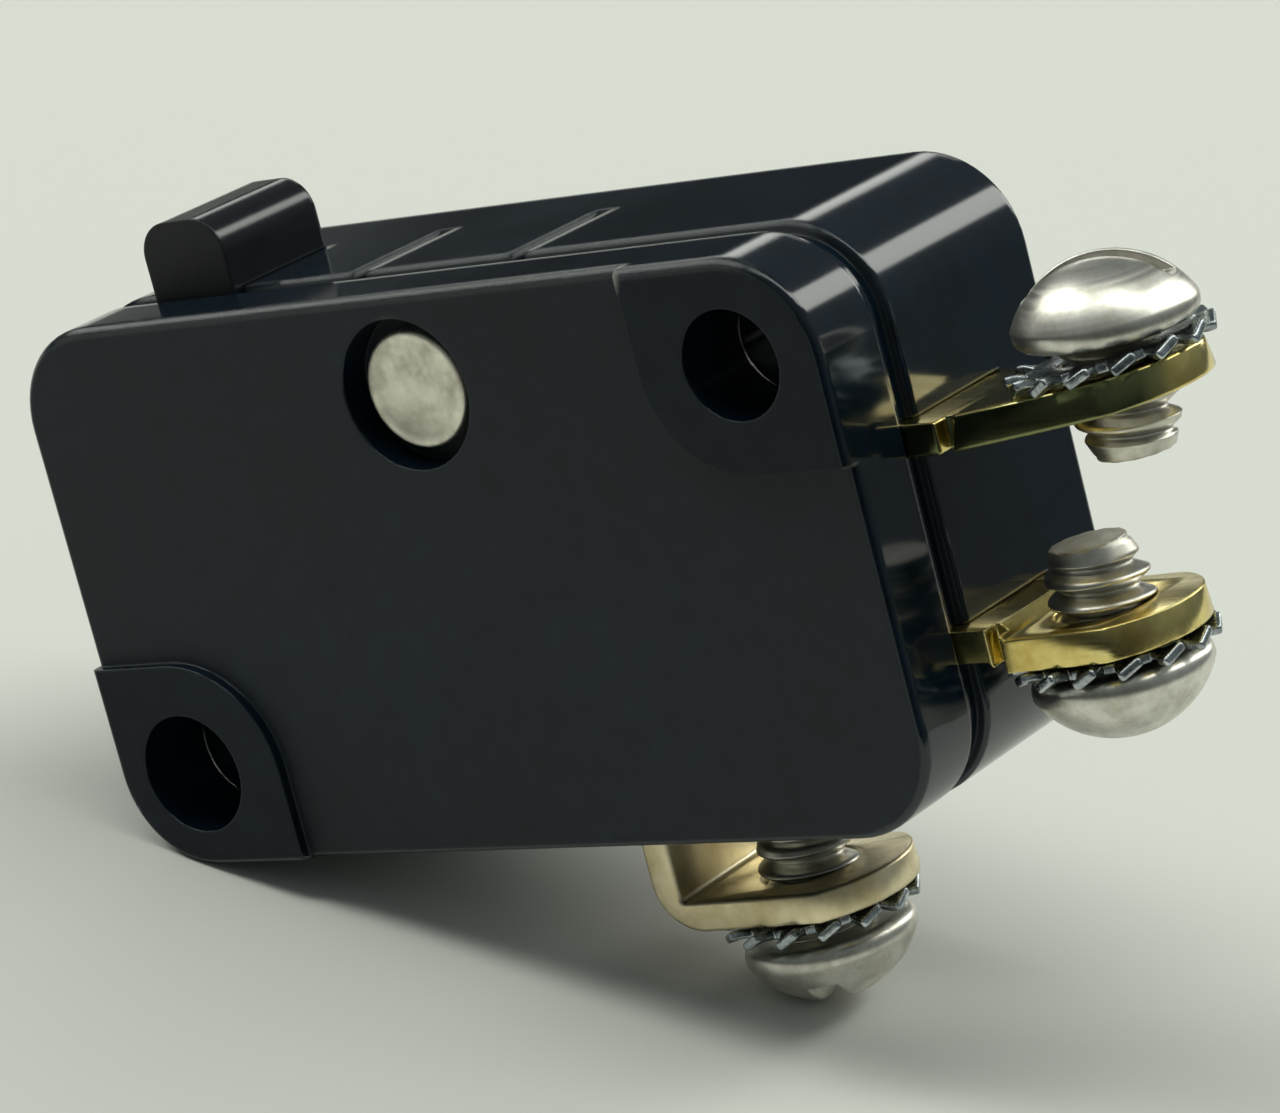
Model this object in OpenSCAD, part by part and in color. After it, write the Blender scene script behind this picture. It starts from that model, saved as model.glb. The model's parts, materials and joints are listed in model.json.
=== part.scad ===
// Pin plunger snap-action switch with three screw terminals.
// Origin: axis of the lower mounting hole, half way through the case thickness.
// +X runs towards the two end terminals, +Y towards the back, +Z towards the plunger.

/* [Case] */
// Length of the case
case_length = 27.8; // [26.6:0.1:29.5]
// Height of the case
case_height = 15.9; // [15.2:0.1:17.5]
// Depth of the base moulding, from its back to the seam
base_depth = 7.6; // [7.2:0.1:8.6]
// Depth of the front cover, from the seam to its plain front face
cover_depth = 2.35; // [2.1:0.05:2.8]
// Height of the raised pads round the mounting holes
pad_raise = 0.35; // [0.2:0.05:0.6]
// Radius of the case's upright corners
corner_r = 2.8; // [2:0.1:3.2]
// Rounding of the outer front and back edges
edge_r = 0.25; // [0.15:0.05:0.8]
// Rounding of the two edges on either side of the seam
seam_r = 0.15; // [0.08:0.01:0.25]
// Width of the shadow groove round the base, beside the cover
groove_w = 0.7; // [0.4:0.05:0.9]
// Depth of the shadow groove
groove_d = 0.3; // [0.2:0.05:0.4]
// Thickness of the top, bottom and plunger end walls
side_wall = 1.3; // [1:0.05:1.5]
// Thickness of the end wall that holds the terminals
end_wall = 3; // [2.6:0.1:3.3]
// Thickness of the back wall
back_wall = 1.5; // [1:0.1:1.9]
// Depth of the hollow inside the cover
cover_hollow = 0.75; // [0.4:0.05:1]

/* [Mounting holes] */
// Lower hole's axis to the nearest end and bottom faces
hole_inset = 2.8; // [2.6:0.1:3.2]
// Distance between the hole axes along the case
hole_run = 22.2; // [21.6:0.1:22.6]
// Distance between the hole axes up the case
hole_rise = 10.3; // [10:0.1:10.6]
// Diameter of the lower hole
lower_hole_d = 3.5; // [3:0.1:3.6]
// Diameter of the upper hole
upper_hole_d = 3; // [2.6:0.1:3.4]
// Wall of the tube round each hole inside the case
boss_wall = 0.7; // [0.6:0.05:0.8]
// Width of the raised land round each hole
pad_land = 1.48; // [1.2:0.02:1.8]

/* [Cover rivet] */
// Place of the rivet along the case
rivet_x = 11.1; // [9.5:0.1:12.5]
// Place of the rivet up the case
rivet_z = 10.3; // [9.8:0.1:10.8]
// Diameter of the rivet's shank
rivet_d = 2.2; // [1.8:0.1:2.4]
// Diameter of the rivet's front head
rivet_head_d = 3.3; // [3:0.1:3.6]
// Thickness of the rivet's heads
rivet_head_t = 0.6; // [0.4:0.05:0.8]
// Diameter of the round recess that the front head sits in
rivet_recess_d = 4.25; // [3.9:0.05:4.6]
// Depth of the head's face below the cover's front face
rivet_sink = 0.45; // [0.2:0.05:0.6]

/* [Plunger] */
// Place of the plunger's middle along the case
plunger_x = 2.2; // [2:0.05:2.4]
// Width of the plunger along the case
plunger_w = 2.95; // [2.6:0.05:3.2]
// Thickness of the plunger across the case
plunger_d = 4.2; // [3.8:0.1:4.4]
// Height of the plunger above the case when it is free
plunger_rise = 2.15; // [1.7:0.05:2.6]
// Rounding of the plunger's crown
crown_r = 1; // [0.4:0.05:1.25]
// Full travel of the plunger
plunger_travel = 1.4; // [1:0.05:1.5]
// Gap between the plunger and its guide
guide_clear = 0.06; // [0.03:0.01:0.1]

/* [Terminals] */
// Width of the terminal straps
strap_w = 4.76; // [4.4:0.02:4.84]
// Thickness of the terminal straps
strap_t = 0.88; // [0.7:0.02:0.95]
// Underside of the upper terminal where it leaves the case
nc_z = 6.7; // [6.5:0.05:6.9]
// End face of the case to the upper terminal's screw
nc_reach = 5.2; // [5:0.05:7]
// Upward set of the upper terminal, in degrees
nc_tilt = 7; // [3:0.1:10]
// Underside of the lower terminal where it leaves the case
no_z = 1.07; // [0.9:0.01:1.2]
// End face of the case to the lower terminal's screw
no_reach = 3.15; // [3.1:0.05:5]
// Step down of the lower terminal outside the case
no_drop = 0.33; // [0.1:0.01:0.45]
// Upward set of the lower terminal, in degrees
no_tilt = 2.5; // [0.5:0.1:4]
// Near face of the common terminal's upright leg along the case
com_x = 12.97; // [12:0.01:14]
// Bottom of the case to the common terminal's foot
com_drop = 3.45; // [3:0.05:4.5]
// Middle of the common terminal's upright leg to its screw
com_reach = 3.29; // [3.2:0.01:4]
// Upward set of the common terminal's foot, in degrees
com_tilt = 2.5; // [1:0.1:5]
// Radius of the upper strap's end about its screw
nc_tip_r = 2.42; // [2.4:0.01:3]
// Radius of the lower strap's end about its screw
no_tip_r = 2.68; // [2.4:0.01:3]
// Radius of the common strap's end about its screw
com_tip_r = 2.92; // [2.4:0.01:3]
// Inner radius of the common terminal's bends
bend_r = 0.15; // [0.1:0.05:0.4]
// Outer radius of the common terminal's foot bend, where the brass is drawn thinner
foot_bend_r = 1.45; // [1.05:0.05:1.5]
// Length of the neck between the case and the terminal's notches
neck_length = 0.95; // [0.8:0.05:1.2]
// Width of the notches
notch_w = 0.35; // [0.25:0.05:0.5]
// Depth of the notches
notch_d = 0.5; // [0.3:0.05:0.7]

/* [Terminal screws] */
// Diameter of the screw threads
screw_d = 2.6; // [2.2:0.05:2.9]
// Length of screw that shows past the strap when it is tight
screw_tail = 1.65; // [1.2:0.05:2]
// Length of the chamfer at the screw's end
tail_chamfer = 0.3; // [0.1:0.05:0.5]
// How far the upper terminal's screw is backed off
nc_back = 0.28; // [0.28:0.02:0.6]
// Lean of the upper terminal's loose screw in its hole, in degrees
nc_lean = 7; // [0:0.5:7]
// How far the common terminal's screw is backed off
com_back = 0.25; // [0:0.05:0.6]
// Diameter of the screw heads
head_d = 4.9; // [4.4:0.1:5]
// Height of the screw heads
head_h = 2.05; // [1.8:0.05:2.3]
// Width of the driver slot
slot_w = 0.8; // [0.6:0.05:1]
// Depth of the driver slot
slot_depth = 0.9; // [0.6:0.05:1.1]
// Rounding of the head's lower edge
head_edge_r = 0.35; // [0.1:0.05:0.4]
// Turn of the upper terminal's slot, in degrees
nc_turn = 23; // [0:1:180]
// Turn of the lower terminal's slot, in degrees
no_turn = 144; // [0:1:180]
// Turn of the common terminal's slot, in degrees
com_turn = 70; // [0:1:180]
// Gap between the thread and the tapped hole
thread_clear = 0.08; // [0.03:0.01:0.12]
// Diameter over the lock washer's teeth
washer_d = 5.6; // [5.2:0.1:5.8]
// Height over the twisted teeth
washer_h = 0.58; // [0.5:0.02:0.9]
// Thickness of the lock washer's sheet
washer_t = 0.35; // [0.3:0.01:0.5]
// Number of teeth on the lock washer
washer_teeth = 14; // [8:1:16]

/* [Snap mechanism] */
// Underside of the blade when the switch is free
blade_z = 4.25; // [4.15:0.01:4.3]
// Thickness of the blade and of the bow spring
blade_t = 0.2; // [0.15:0.01:0.25]
// Width of the blade
blade_w = 4.4; // [4:0.1:4.6]
// Width of each side rail of the blade
blade_rail = 0.9; // [0.7:0.05:1]
// Axis of the contacts to the inside of the end wall
contact_x = 2.6; // [2.2:0.1:3]
// Diameter of the contact heads
contact_d = 2.6; // [2.2:0.1:2.8]
// Height of the moving contact's heads
contact_h = 0.85; // [0.7:0.01:0.9]
// Gap that the contacts open
contact_gap = 0.7; // [0.6:0.02:0.8]
// Thickness of the spring anchor's sheet
anchor_t = 0.8; // [0.7:0.02:0.9]
// Width of the bow spring
bow_w = 2; // [1.6:0.1:2.2]
// Height of the bow spring's arch
bow_rise = 1.5; // [1.2:0.05:1.7]

/* [Hidden] */
$fn = 64;

// Clearance between pieces that seat on each other, and overshoot of cuts
fit = 0.02;
over = 1;

// Case limits. Depths count from mid thickness towards the front.
left_x = -hole_inset;
right_x = case_length - hole_inset;
low_z = -hole_inset;
top_z = case_height - hole_inset;
back_depth = -(base_depth + cover_depth + pad_raise) / 2;
seam_depth = back_depth + base_depth;
front_depth = seam_depth + cover_depth;
pad_depth = front_depth + pad_raise;
floor_depth = back_depth + back_wall;

// Narrow slots across the case top
top_slots = [7.95, 13.55];
top_slot_w = 0.5;
top_slot_depth = 0.9;
top_slot_lip = 0.45;

// Hollow of the case
inner_left = left_x + side_wall;
inner_right = right_x - end_wall;
inner_low = low_z + side_wall;
inner_top = top_z - side_wall;
inner_r = corner_r - side_wall;
contact_axis = inner_right - contact_x;

// Rivet levels and its boss
rivet_boss_r = rivet_recess_d / 2 + boss_wall / 2;
rivet_face = front_depth - rivet_sink;
rivet_seat = rivet_face - rivet_head_t;
rivet_flare = 0.45;
rivet_tail_r = rivet_d / 2 + rivet_flare;
rivet_tail_room = 0.3;
rivet_tail_seat = back_depth + rivet_head_t + rivet_sink;
rivet_dish_d = 2.7;
rivet_dish_t = 0.08;
rivet_bore_d = 1.2;
rivet_bore_depth = 2.5;

// Blade, anchor and terminal levels
blade_top = blade_z + blade_t;
anchor_foot_h = 1;
com_top = blade_z - anchor_t - anchor_foot_h;
com_z = com_top - strap_t;
nc_face = blade_top + contact_h + fit;
no_face = blade_z - contact_h - contact_gap;
contact_shank_d = 1.43;
contact_tail_d = 1.95;
contact_tail_t = 0.3;

// Plunger levels
plunger_top = top_z + plunger_rise;
plunger_tip_w = 1.2;
plunger_tip_d = 2.4;
tip_room = 0.6;
plunger_body_z = blade_z + plunger_travel + tip_room;
flange_w = 0.5;
flange_t = 1.3;
flange_top = inner_top - guide_clear;

// Anchor places: the blade is riveted at the plunger end, over the lower boss
slack = 0.1;
anchor_plate = 2.1;
anchor_left = inner_left + slack;
anchor_right = anchor_left + anchor_plate;
anchor_rivet_x = (anchor_left + anchor_right) / 2;
anchor_rivet_d = 1.1;
anchor_rivet_head_d = 1.65;
anchor_rivet_head_t = 0.35;
arm_clear = 0.6;
arm_gap = plunger_tip_d / 2 + arm_clear;
anchor_arm = strap_w / 2 - arm_gap;
waist_clear = 0.2;
waist_w = 2 * (arm_gap - waist_clear);
anchor_foot_x = plunger_x + plunger_w / 2 + slack;
anchor_foot_w = 0.8;

// Blade window and the bow spring's two seats
blade_web = 0.9;
contact_land = 2.5;
blade_nose = 1.7;
window_left = anchor_foot_x + anchor_foot_w + blade_web;
window_right = contact_axis - contact_land;
post_w = 0.5;
post_gap = 0.3;
post_x = window_left + post_gap;
bow_gap = blade_t / 2;
bow_sink = 0.3;
bow_from = [post_x + post_w + bow_gap, blade_z - bow_sink];
bow_to = [window_right - bow_gap, blade_z + blade_t / 2];

// Screw seats: place on the strap's face and the lean of the screw's axis
strap_mid = strap_t / 2;
notch_x = right_x + neck_length;
nc_bend = [notch_x + notch_w / 2, nc_z + strap_mid];
no_step = [[notch_x, no_z + strap_mid], [notch_x + notch_w, no_z + strap_mid - no_drop]];
foot_z = low_z - com_drop + strap_mid;
foot_bend = [com_x + strap_t + bend_r, foot_z + strap_mid + bend_r];

// Upright rim of the screw heads
rim_h = 0.5;

// Lock washer: ring inside the head's edge, how deep the teeth root in it, share of the pitch that is tooth
ring_inset = 0.25;
tooth_root = 0.15;
tooth_fill = 0.55;

function along(start, angle, length) = start + length * [cos(angle), sin(angle)];
nc_seat = along(nc_bend, nc_tilt, (right_x + nc_reach - nc_bend[0]) / cos(nc_tilt));
no_seat = along(no_step[1], no_tilt, (right_x + no_reach - no_step[1][0]) / cos(no_tilt));
com_seat = along([foot_bend[0], foot_z], com_tilt, com_x + strap_mid + com_reach - foot_bend[0]);

// Lays a shape drawn in front view, with its depth towards the front, into the part's frame
module face_view() {
    rotate([90, 0, 0]) children();
}

// A bar between two depths, drawn in front view
module depth_bar(from, to) {
    face_view() translate([0, 0, from]) linear_extrude(to - from) children();
}

// A square-cornered rectangle between two corners
module rect(low, high) {
    translate(low) square(high - low);
}

// A rounding's waste: what lies outside a quarter circle in the corner at the origin
module corner_waste(r) {
    difference() {
        translate([-r, -r]) square(r + over);
        translate([-r, -r]) circle(r);
        translate([-r - over, -r - over]) square([over, 2 * (r + over)]);
        translate([-r - over, -r - over]) square([2 * (r + over), over]);
    }
}

// A rectangle between two corners with rounded corners
module round_rect(low, high, r) {
    difference() {
        rect(low, high);
        for (right = [0, 1], up = [0, 1])
            translate([right ? high[0] : low[0], up ? high[1] : low[1]])
                mirror([1 - right, 0]) mirror([0, 1 - up]) corner_waste(r);
    }
}

// Section from the middle out to a face, with its two outer edges rounded
module edge_section(reach, low, high, low_r, high_r) {
    difference() {
        rect([0, low], [reach, high]);
        translate([reach, high]) corner_waste(high_r);
        translate([reach, low]) mirror([0, 1]) corner_waste(low_r);
    }
}

// The case outline as a slab between two depths, with rounded outer edges
module case_slab(low, high, low_r, high_r) {
    long = case_length - 2 * corner_r;
    tall = case_height - 2 * corner_r;
    face_view() translate([(left_x + right_x) / 2, (low_z + top_z) / 2, 0]) {
        for (up = [0, 1]) mirror([0, up])
            rotate([0, 0, 90]) rotate([90, 0, 0]) linear_extrude(long, center = true)
                edge_section(case_height / 2, low, high, low_r, high_r);
        for (side = [0, 1]) mirror([side, 0]) translate([long / 2, 0, 0]) {
            rotate([90, 0, 0]) linear_extrude(tall, center = true)
                edge_section(corner_r, low, high, low_r, high_r);
            for (up = [0, 1]) mirror([0, up]) translate([0, tall / 2, 0])
                rotate_extrude(angle = 90) edge_section(corner_r, low, high, low_r, high_r);
        }
    }
}

// Front view of the land round one mounting hole, out past the case corner
module pad_outline(r, side) {
    far = case_length;
    circle(r);
    rotate(side > 0 ? 0 : 180) {
        rect([0, -r], [far, r]);
        rect([-r, 0], [r, far]);
        square(far);
    }
}

// Front view of the hollow inside the case, left open round the bosses
module hollow_outline() {
    difference() {
        round_rect([inner_left, inner_low], [inner_right, inner_top], inner_r);
        circle(lower_hole_d / 2 + boss_wall);
        rect([inner_left - over, 0], [anchor_right, blade_z - anchor_t - fit]);
        translate([hole_run, hole_rise]) circle(upper_hole_d / 2 + boss_wall);
        translate([rivet_x, rivet_z]) circle(rivet_boss_r);
    }
}

// The two mounting holes and the rivet's hole, right through
module through_holes() {
    far = base_depth + cover_depth + pad_raise + 2 * over;
    face_view() {
        cylinder(d = lower_hole_d, h = far, center = true);
        translate([hole_run, hole_rise, 0]) cylinder(d = upper_hole_d, h = far, center = true);
        translate([rivet_x, rivet_z, 0]) cylinder(d = rivet_d + 2 * fit, h = far, center = true);
    }
}

// Moulded base: back wall, side walls, groove by the cover, bosses, plunger guide and terminal slots
module base_case() {
    slot_end = strap_w / 2 + fit;
    guide_w = plunger_w / 2 + guide_clear;
    color([0.13, 0.145, 0.155]) difference() {
        union() {
            case_slab(back_depth, seam_depth - groove_w, edge_r, seam_r);
            depth_bar(floor_depth, seam_depth)
                round_rect([left_x + groove_d, low_z + groove_d], [right_x - groove_d, top_z - groove_d],
                           corner_r - groove_d);
        }
        depth_bar(floor_depth, seam_depth + over) hollow_outline();
        through_holes();
        // Recess for the rivet's rolled tail
        face_view() translate([rivet_x, rivet_z, back_depth - over])
            cylinder(r = rivet_tail_r + rivet_tail_room, h = rivet_tail_seat - back_depth + over);
        // Plunger guide, open to the seam
        depth_bar(-plunger_d / 2 - guide_clear, seam_depth + over)
            rect([plunger_x - guide_w, inner_top - over], [plunger_x + guide_w, top_z + over]);
        // Slots for the three straps, open to the seam
        depth_bar(-slot_end, seam_depth + over) {
            rect([inner_right - over, nc_z - fit], [right_x + over, nc_z + strap_t + fit]);
            rect([inner_right - over, no_z - fit], [right_x + over, no_z + strap_t + fit]);
            rect([com_x - fit, low_z - over], [com_x + strap_t + fit, inner_low + over]);
        }
        // Two narrow slots across the top
        for (x = top_slots) depth_bar(-slot_end, seam_depth - top_slot_lip)
            rect([x - top_slot_w / 2, top_z - top_slot_depth], [x + top_slot_w / 2, top_z + over]);
    }
}

// Front cover with raised pads round the mounting holes and a recess for the rivet
module front_cover() {
    color([0.13, 0.145, 0.155]) difference() {
        union() {
            case_slab(seam_depth, front_depth, seam_r, edge_r);
            intersection() {
                case_slab(seam_depth, pad_depth, seam_r, edge_r);
                depth_bar(seam_depth - over, pad_depth + over) {
                    pad_outline(lower_hole_d / 2 + pad_land, -1);
                    translate([hole_run, hole_rise]) pad_outline(upper_hole_d / 2 + pad_land, 1);
                }
            }
        }
        depth_bar(seam_depth - over, seam_depth + cover_hollow) hollow_outline();
        through_holes();
        face_view() translate([rivet_x, rivet_z, rivet_seat])
            cylinder(d = rivet_recess_d, h = rivet_head_t + rivet_sink + over);
    }
}

// Rivet through cover and base: front head with a shallow dish, rolled hollow tail
module cover_rivet() {
    color([0.8, 0.8, 0.78]) face_view() translate([rivet_x, rivet_z, 0]) difference() {
        union() {
            translate([0, 0, rivet_seat + fit]) cylinder(d = rivet_head_d, h = rivet_head_t - fit);
            translate([0, 0, back_depth + rivet_sink])
                cylinder(d = rivet_d, h = rivet_seat - back_depth - rivet_sink + rivet_head_t / 2);
            translate([0, 0, back_depth + rivet_sink]) cylinder(r = rivet_tail_r, h = rivet_head_t - fit);
        }
        translate([0, 0, rivet_face - rivet_dish_t]) cylinder(d = rivet_dish_d, h = over);
        translate([0, 0, back_depth]) cylinder(d = rivet_bore_d, h = rivet_sink + rivet_bore_depth);
    }
}

// Plunger: crowned head, flange that stops it under the case top, and a narrow tip on the blade
module plunger() {
    half = plunger_w / 2;
    color([0.07, 0.075, 0.08]) {
        depth_bar(-plunger_d / 2, plunger_d / 2) {
            difference() {
                rect([plunger_x - half, plunger_body_z], [plunger_x + half, plunger_top]);
                translate([plunger_x + half, plunger_top]) corner_waste(crown_r);
                translate([plunger_x - half, plunger_top]) mirror([1, 0]) corner_waste(crown_r);
            }
            rect([plunger_x - half - flange_w, flange_top - flange_t],
                 [plunger_x + half + flange_w, flange_top]);
        }
        depth_bar(-plunger_tip_d / 2, plunger_tip_d / 2) {
            rect([plunger_x - plunger_tip_w / 2, blade_top + fit + plunger_tip_w / 2],
                 [plunger_x + plunger_tip_w / 2, plunger_body_z + over]);
            translate([plunger_x, blade_top + fit + plunger_tip_w / 2]) circle(d = plunger_tip_w);
        }
    }
}

// Points along one side of a bent strip, mitred at each bend; side is 1 above and -1 below
function strip_side(path, t, side) = [
    for (i = [0 : len(path) - 1])
        let (before = path[max(i, 1)] - path[max(i, 1) - 1],
             after = path[min(i + 1, len(path) - 1)] - path[min(i + 1, len(path) - 1) - 1],
             a = atan2(before[1], before[0]),
             b = atan2(after[1], after[0]),
             lean = (a + b) / 2,
             far = t / 2 / cos((b - a) / 2))
        path[i] + side * far * [-sin(lean), cos(lean)]
];

// A strap bent along a path in front view, with its own width across the case
module strip(path, t, w) {
    below = strip_side(path, t, -1);
    above = strip_side(path, t, 1);
    depth_bar(-w / 2, w / 2) polygon([for (p = below) p, for (i = [len(above) - 1 : -1 : 0]) above[i]]);
}

// Puts a shape at a screw's seat, with +Z along the screw's axis towards its head
module at_seat(seat, tilt, head_up) {
    translate([seat[0], 0, seat[1]]) rotate([0, -tilt, 0])
        rotate([head_up ? 0 : 180, 0, 0]) translate([0, 0, strap_mid]) children();
}

// Puts a screw at a seat, backed off along an axis that may lean in the tapped hole
module at_screw(seat, tilt, head_up, back, lean) {
    at_seat(seat, tilt, head_up) translate([0, 0, -strap_mid]) rotate([0, lean, 0])
        translate([0, 0, strap_mid + back]) children();
}

// Waste round the end of a strap that is rounded about its screw
module end_waste(tip_r) {
    far = 2 * tip_r;
    translate([0, 0, -strap_t - over]) linear_extrude(strap_t + 2 * over) difference() {
        rect([0, -far], [far, far]);
        circle(tip_r);
    }
}

// Tapped hole of a strap, drawn as its plain clearance
module tapped_hole() {
    translate([0, 0, -strap_t - over])
        cylinder(d = screw_d + 2 * thread_clear, h = strap_t + 2 * over);
}

// Notches in both edges of a strap just outside the case
module strap_notches(z) {
    for (side = [-1, 1])
        translate([notch_x, side * strap_w / 2 - notch_d, z - over])
            cube([notch_w, 2 * notch_d, strap_t + 2 * over]);
}

// One of the two end terminals: a strap through the end wall with a rounded end
module end_terminal(path, seat, tilt, head_up, z, tip_r) {
    color([0.72, 0.62, 0.3]) difference() {
        strip(path, strap_t, strap_w);
        at_seat(seat, tilt, head_up) {
            end_waste(tip_r);
            tapped_hole();
        }
        strap_notches(z);
        translate([contact_axis, 0, z - over])
            cylinder(d = contact_shank_d + 2 * fit, h = strap_t + 2 * over);
    }
}

module nc_terminal() {
    inner_end = [contact_axis - strap_w / 2, nc_bend[1]];
    path = [inner_end, nc_bend, along(nc_seat, nc_tilt, nc_tip_r + over)];
    end_terminal(path, nc_seat, nc_tilt, true, nc_z, nc_tip_r);
}

module no_terminal() {
    inner_end = [contact_axis - strap_w / 2, no_step[0][1]];
    path = [inner_end, no_step[0], no_step[1], along(no_seat, no_tilt, no_tip_r + over)];
    end_terminal(path, no_seat, no_tilt, false, no_z, no_tip_r);
}

// A bend of a strap about a centre in front view, from one angle over a span
module strap_bend(centre, from, span) {
    face_view() translate([centre[0], centre[1], 0]) rotate([0, 0, from])
        rotate_extrude(angle = span) translate([bend_r, -strap_w / 2]) square([strap_t, strap_w]);
}

// Waste outside the foot bend, between the upright leg's face and the foot's underside
module foot_bend_waste() {
    far = 2 * foot_bend_r;
    drop = foot_bend[1] - (bend_r + strap_t) / cos(com_tilt) - foot_bend[0] * tan(com_tilt);
    centre_x = com_x + foot_bend_r;
    centre_z = drop + centre_x * tan(com_tilt) + foot_bend_r / cos(com_tilt);
    depth_bar(-strap_w / 2 - over, strap_w / 2 + over) translate([centre_x, centre_z]) rotate(com_tilt)
        difference() {
            rect([-far, -far], [0, foot_bend_r * sin(com_tilt)]);
            circle(foot_bend_r);
        }
}

// Common terminal: an inner leg under the blade, an upright leg through the bottom and a foot for the screw
module common_terminal() {
    inner_end = anchor_foot_x;
    upper_bend = [com_x - bend_r, com_top - strap_t - bend_r];
    foot_length = com_seat[0] - foot_bend[0] + com_tip_r + over;
    color([0.72, 0.62, 0.3]) {
        difference() {
            union() {
                depth_bar(-strap_w / 2, strap_w / 2) {
                    rect([inner_end, com_z], [upper_bend[0], com_top]);
                    rect([com_x, foot_bend[1]], [com_x + strap_t, upper_bend[1]]);
                }
                strap_bend(upper_bend, 0, 90);
                strap_bend(foot_bend, 180, 90 + com_tilt);
                translate([foot_bend[0], 0, foot_bend[1]]) rotate([0, -com_tilt, 0])
                    translate([0, -strap_w / 2, -bend_r - strap_t]) cube([foot_length, strap_w, strap_t]);
            }
            at_seat(com_seat, com_tilt, false) {
                end_waste(com_tip_r);
                tapped_hole();
            }
            foot_bend_waste();
        }
        // Upright post that the bow spring pushes against
        translate([post_x, -bow_w / 2, com_top]) cube([post_w, bow_w, blade_z - com_top - fit]);
    }
}

// A contact rivet in a strap: its head faces the moving contact, its tail is set over the strap's far face
module fixed_contact(strap_z, face, up) {
    head_z = up ? strap_z + strap_t + fit : face;
    head_t = up ? face - head_z : strap_z - fit - face;
    tail_z = up ? strap_z - fit - contact_tail_t : strap_z + strap_t + fit;
    color([0.78, 0.78, 0.76]) translate([contact_axis, 0, 0]) {
        translate([0, 0, head_z]) cylinder(d = contact_d, h = head_t);
        translate([0, 0, strap_z - fit]) cylinder(d = contact_shank_d, h = strap_t + 2 * fit);
        translate([0, 0, tail_z]) cylinder(d = contact_tail_d, h = contact_tail_t);
    }
}

module nc_contact() {
    fixed_contact(nc_z, nc_face, false);
}

module no_contact() {
    fixed_contact(no_z, no_face, true);
}

// Double-headed contact rivet at the free end of the blade
module moving_contact() {
    color([0.78, 0.78, 0.76]) translate([contact_axis, 0, 0]) {
        translate([0, 0, blade_top + fit]) cylinder(d = contact_d, h = contact_h - fit);
        translate([0, 0, blade_z - fit]) cylinder(d = contact_shank_d, h = blade_t + 2 * fit);
        translate([0, 0, blade_z - contact_h]) cylinder(d = contact_d, h = contact_h - fit);
    }
}

// Spring anchor: a plate over the lower boss with two arms that pass the plunger's tip to feet on the strap
module spring_anchor() {
    plate_z = blade_z - anchor_t;
    color([0.7, 0.68, 0.6]) difference() {
        union() {
            translate([anchor_left, -strap_w / 2, plate_z])
                cube([anchor_right - anchor_left, strap_w, anchor_t]);
            for (side = [0, 1]) mirror([0, side]) {
                translate([anchor_right, arm_gap, plate_z])
                    cube([anchor_foot_x + anchor_foot_w - anchor_right, anchor_arm, anchor_t]);
                translate([anchor_foot_x, arm_gap, com_top])
                    cube([anchor_foot_w, anchor_arm, plate_z - com_top]);
            }
        }
        translate([anchor_rivet_x, 0, plate_z - over])
            cylinder(d = anchor_rivet_d + 2 * fit, h = anchor_t + 2 * over);
    }
}

// Small rivet that holds the blade's fixed end on the anchor
module anchor_rivet() {
    color([0.75, 0.75, 0.72]) translate([anchor_rivet_x, 0, 0]) {
        translate([0, 0, blade_z - anchor_t])
            cylinder(d = anchor_rivet_d, h = anchor_t + blade_t + anchor_rivet_head_t);
        translate([0, 0, blade_top + fit]) cylinder(d = anchor_rivet_head_d, h = anchor_rivet_head_t);
    }
}

// Snap blade in plan: fixed end, waist between the anchor's arms, two rails round a window, contact end
module blade_plan() {
    half = blade_w / 2;
    waist_end = anchor_foot_x + anchor_foot_w + waist_clear;
    difference() {
        union() {
            rect([anchor_left, -half], [anchor_right, half]);
            rect([anchor_right - over, -waist_w / 2], [waist_end + over, waist_w / 2]);
            rect([waist_end, -half], [contact_axis, half]);
            translate([contact_axis, 0]) circle(r = blade_nose);
        }
        rect([window_left, blade_rail - half], [window_right, half - blade_rail]);
        translate([anchor_rivet_x, 0]) circle(d = anchor_rivet_d + 2 * fit);
        translate([contact_axis, 0]) circle(d = contact_shank_d + 2 * fit);
    }
}

module snap_blade() {
    color([0.78, 0.6, 0.38]) translate([0, 0, blade_z]) linear_extrude(blade_t) blade_plan();
}

// Bow spring: an arch from the common terminal's post to the far edge of the blade's window
module bow_spring() {
    chord = norm(bow_to - bow_from);
    lean = atan2(bow_to[1] - bow_from[1], bow_to[0] - bow_from[0]);
    r = chord * chord / (8 * bow_rise) + bow_rise / 2;
    half_span = asin(chord / 2 / r);
    middle = (bow_from + bow_to) / 2;
    centre = middle + (r - bow_rise) * [sin(lean), -cos(lean)];
    color([0.78, 0.6, 0.38]) face_view() translate([centre[0], centre[1], 0])
        rotate([0, 0, lean + 90 - half_span]) rotate_extrude(angle = 2 * half_span)
            translate([r - blade_t / 2, -bow_w / 2]) square([blade_t, bow_w]);
}

// Half section of a screw: chamfered shank, and a head with an upright rim below a dome
module screw_section() {
    rim_r = head_d / 2;
    dome_h = head_h - rim_h;
    dome_r = (rim_r * rim_r + dome_h * dome_h) / (2 * dome_h);
    shank_r = screw_d / 2;
    tail_end = -strap_t - screw_tail;
    polygon([[0, tail_end], [shank_r - tail_chamfer, tail_end], [shank_r, tail_end + tail_chamfer],
             [shank_r, washer_h + over], [0, washer_h + over]]);
    difference() {
        union() {
            rect([0, washer_h], [rim_r, washer_h + rim_h]);
            intersection() {
                translate([0, washer_h + head_h - dome_r]) circle(dome_r);
                rect([0, washer_h + rim_h], [rim_r, washer_h + head_h]);
            }
        }
        translate([rim_r, washer_h]) mirror([0, 1]) corner_waste(head_edge_r);
    }
}

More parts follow.
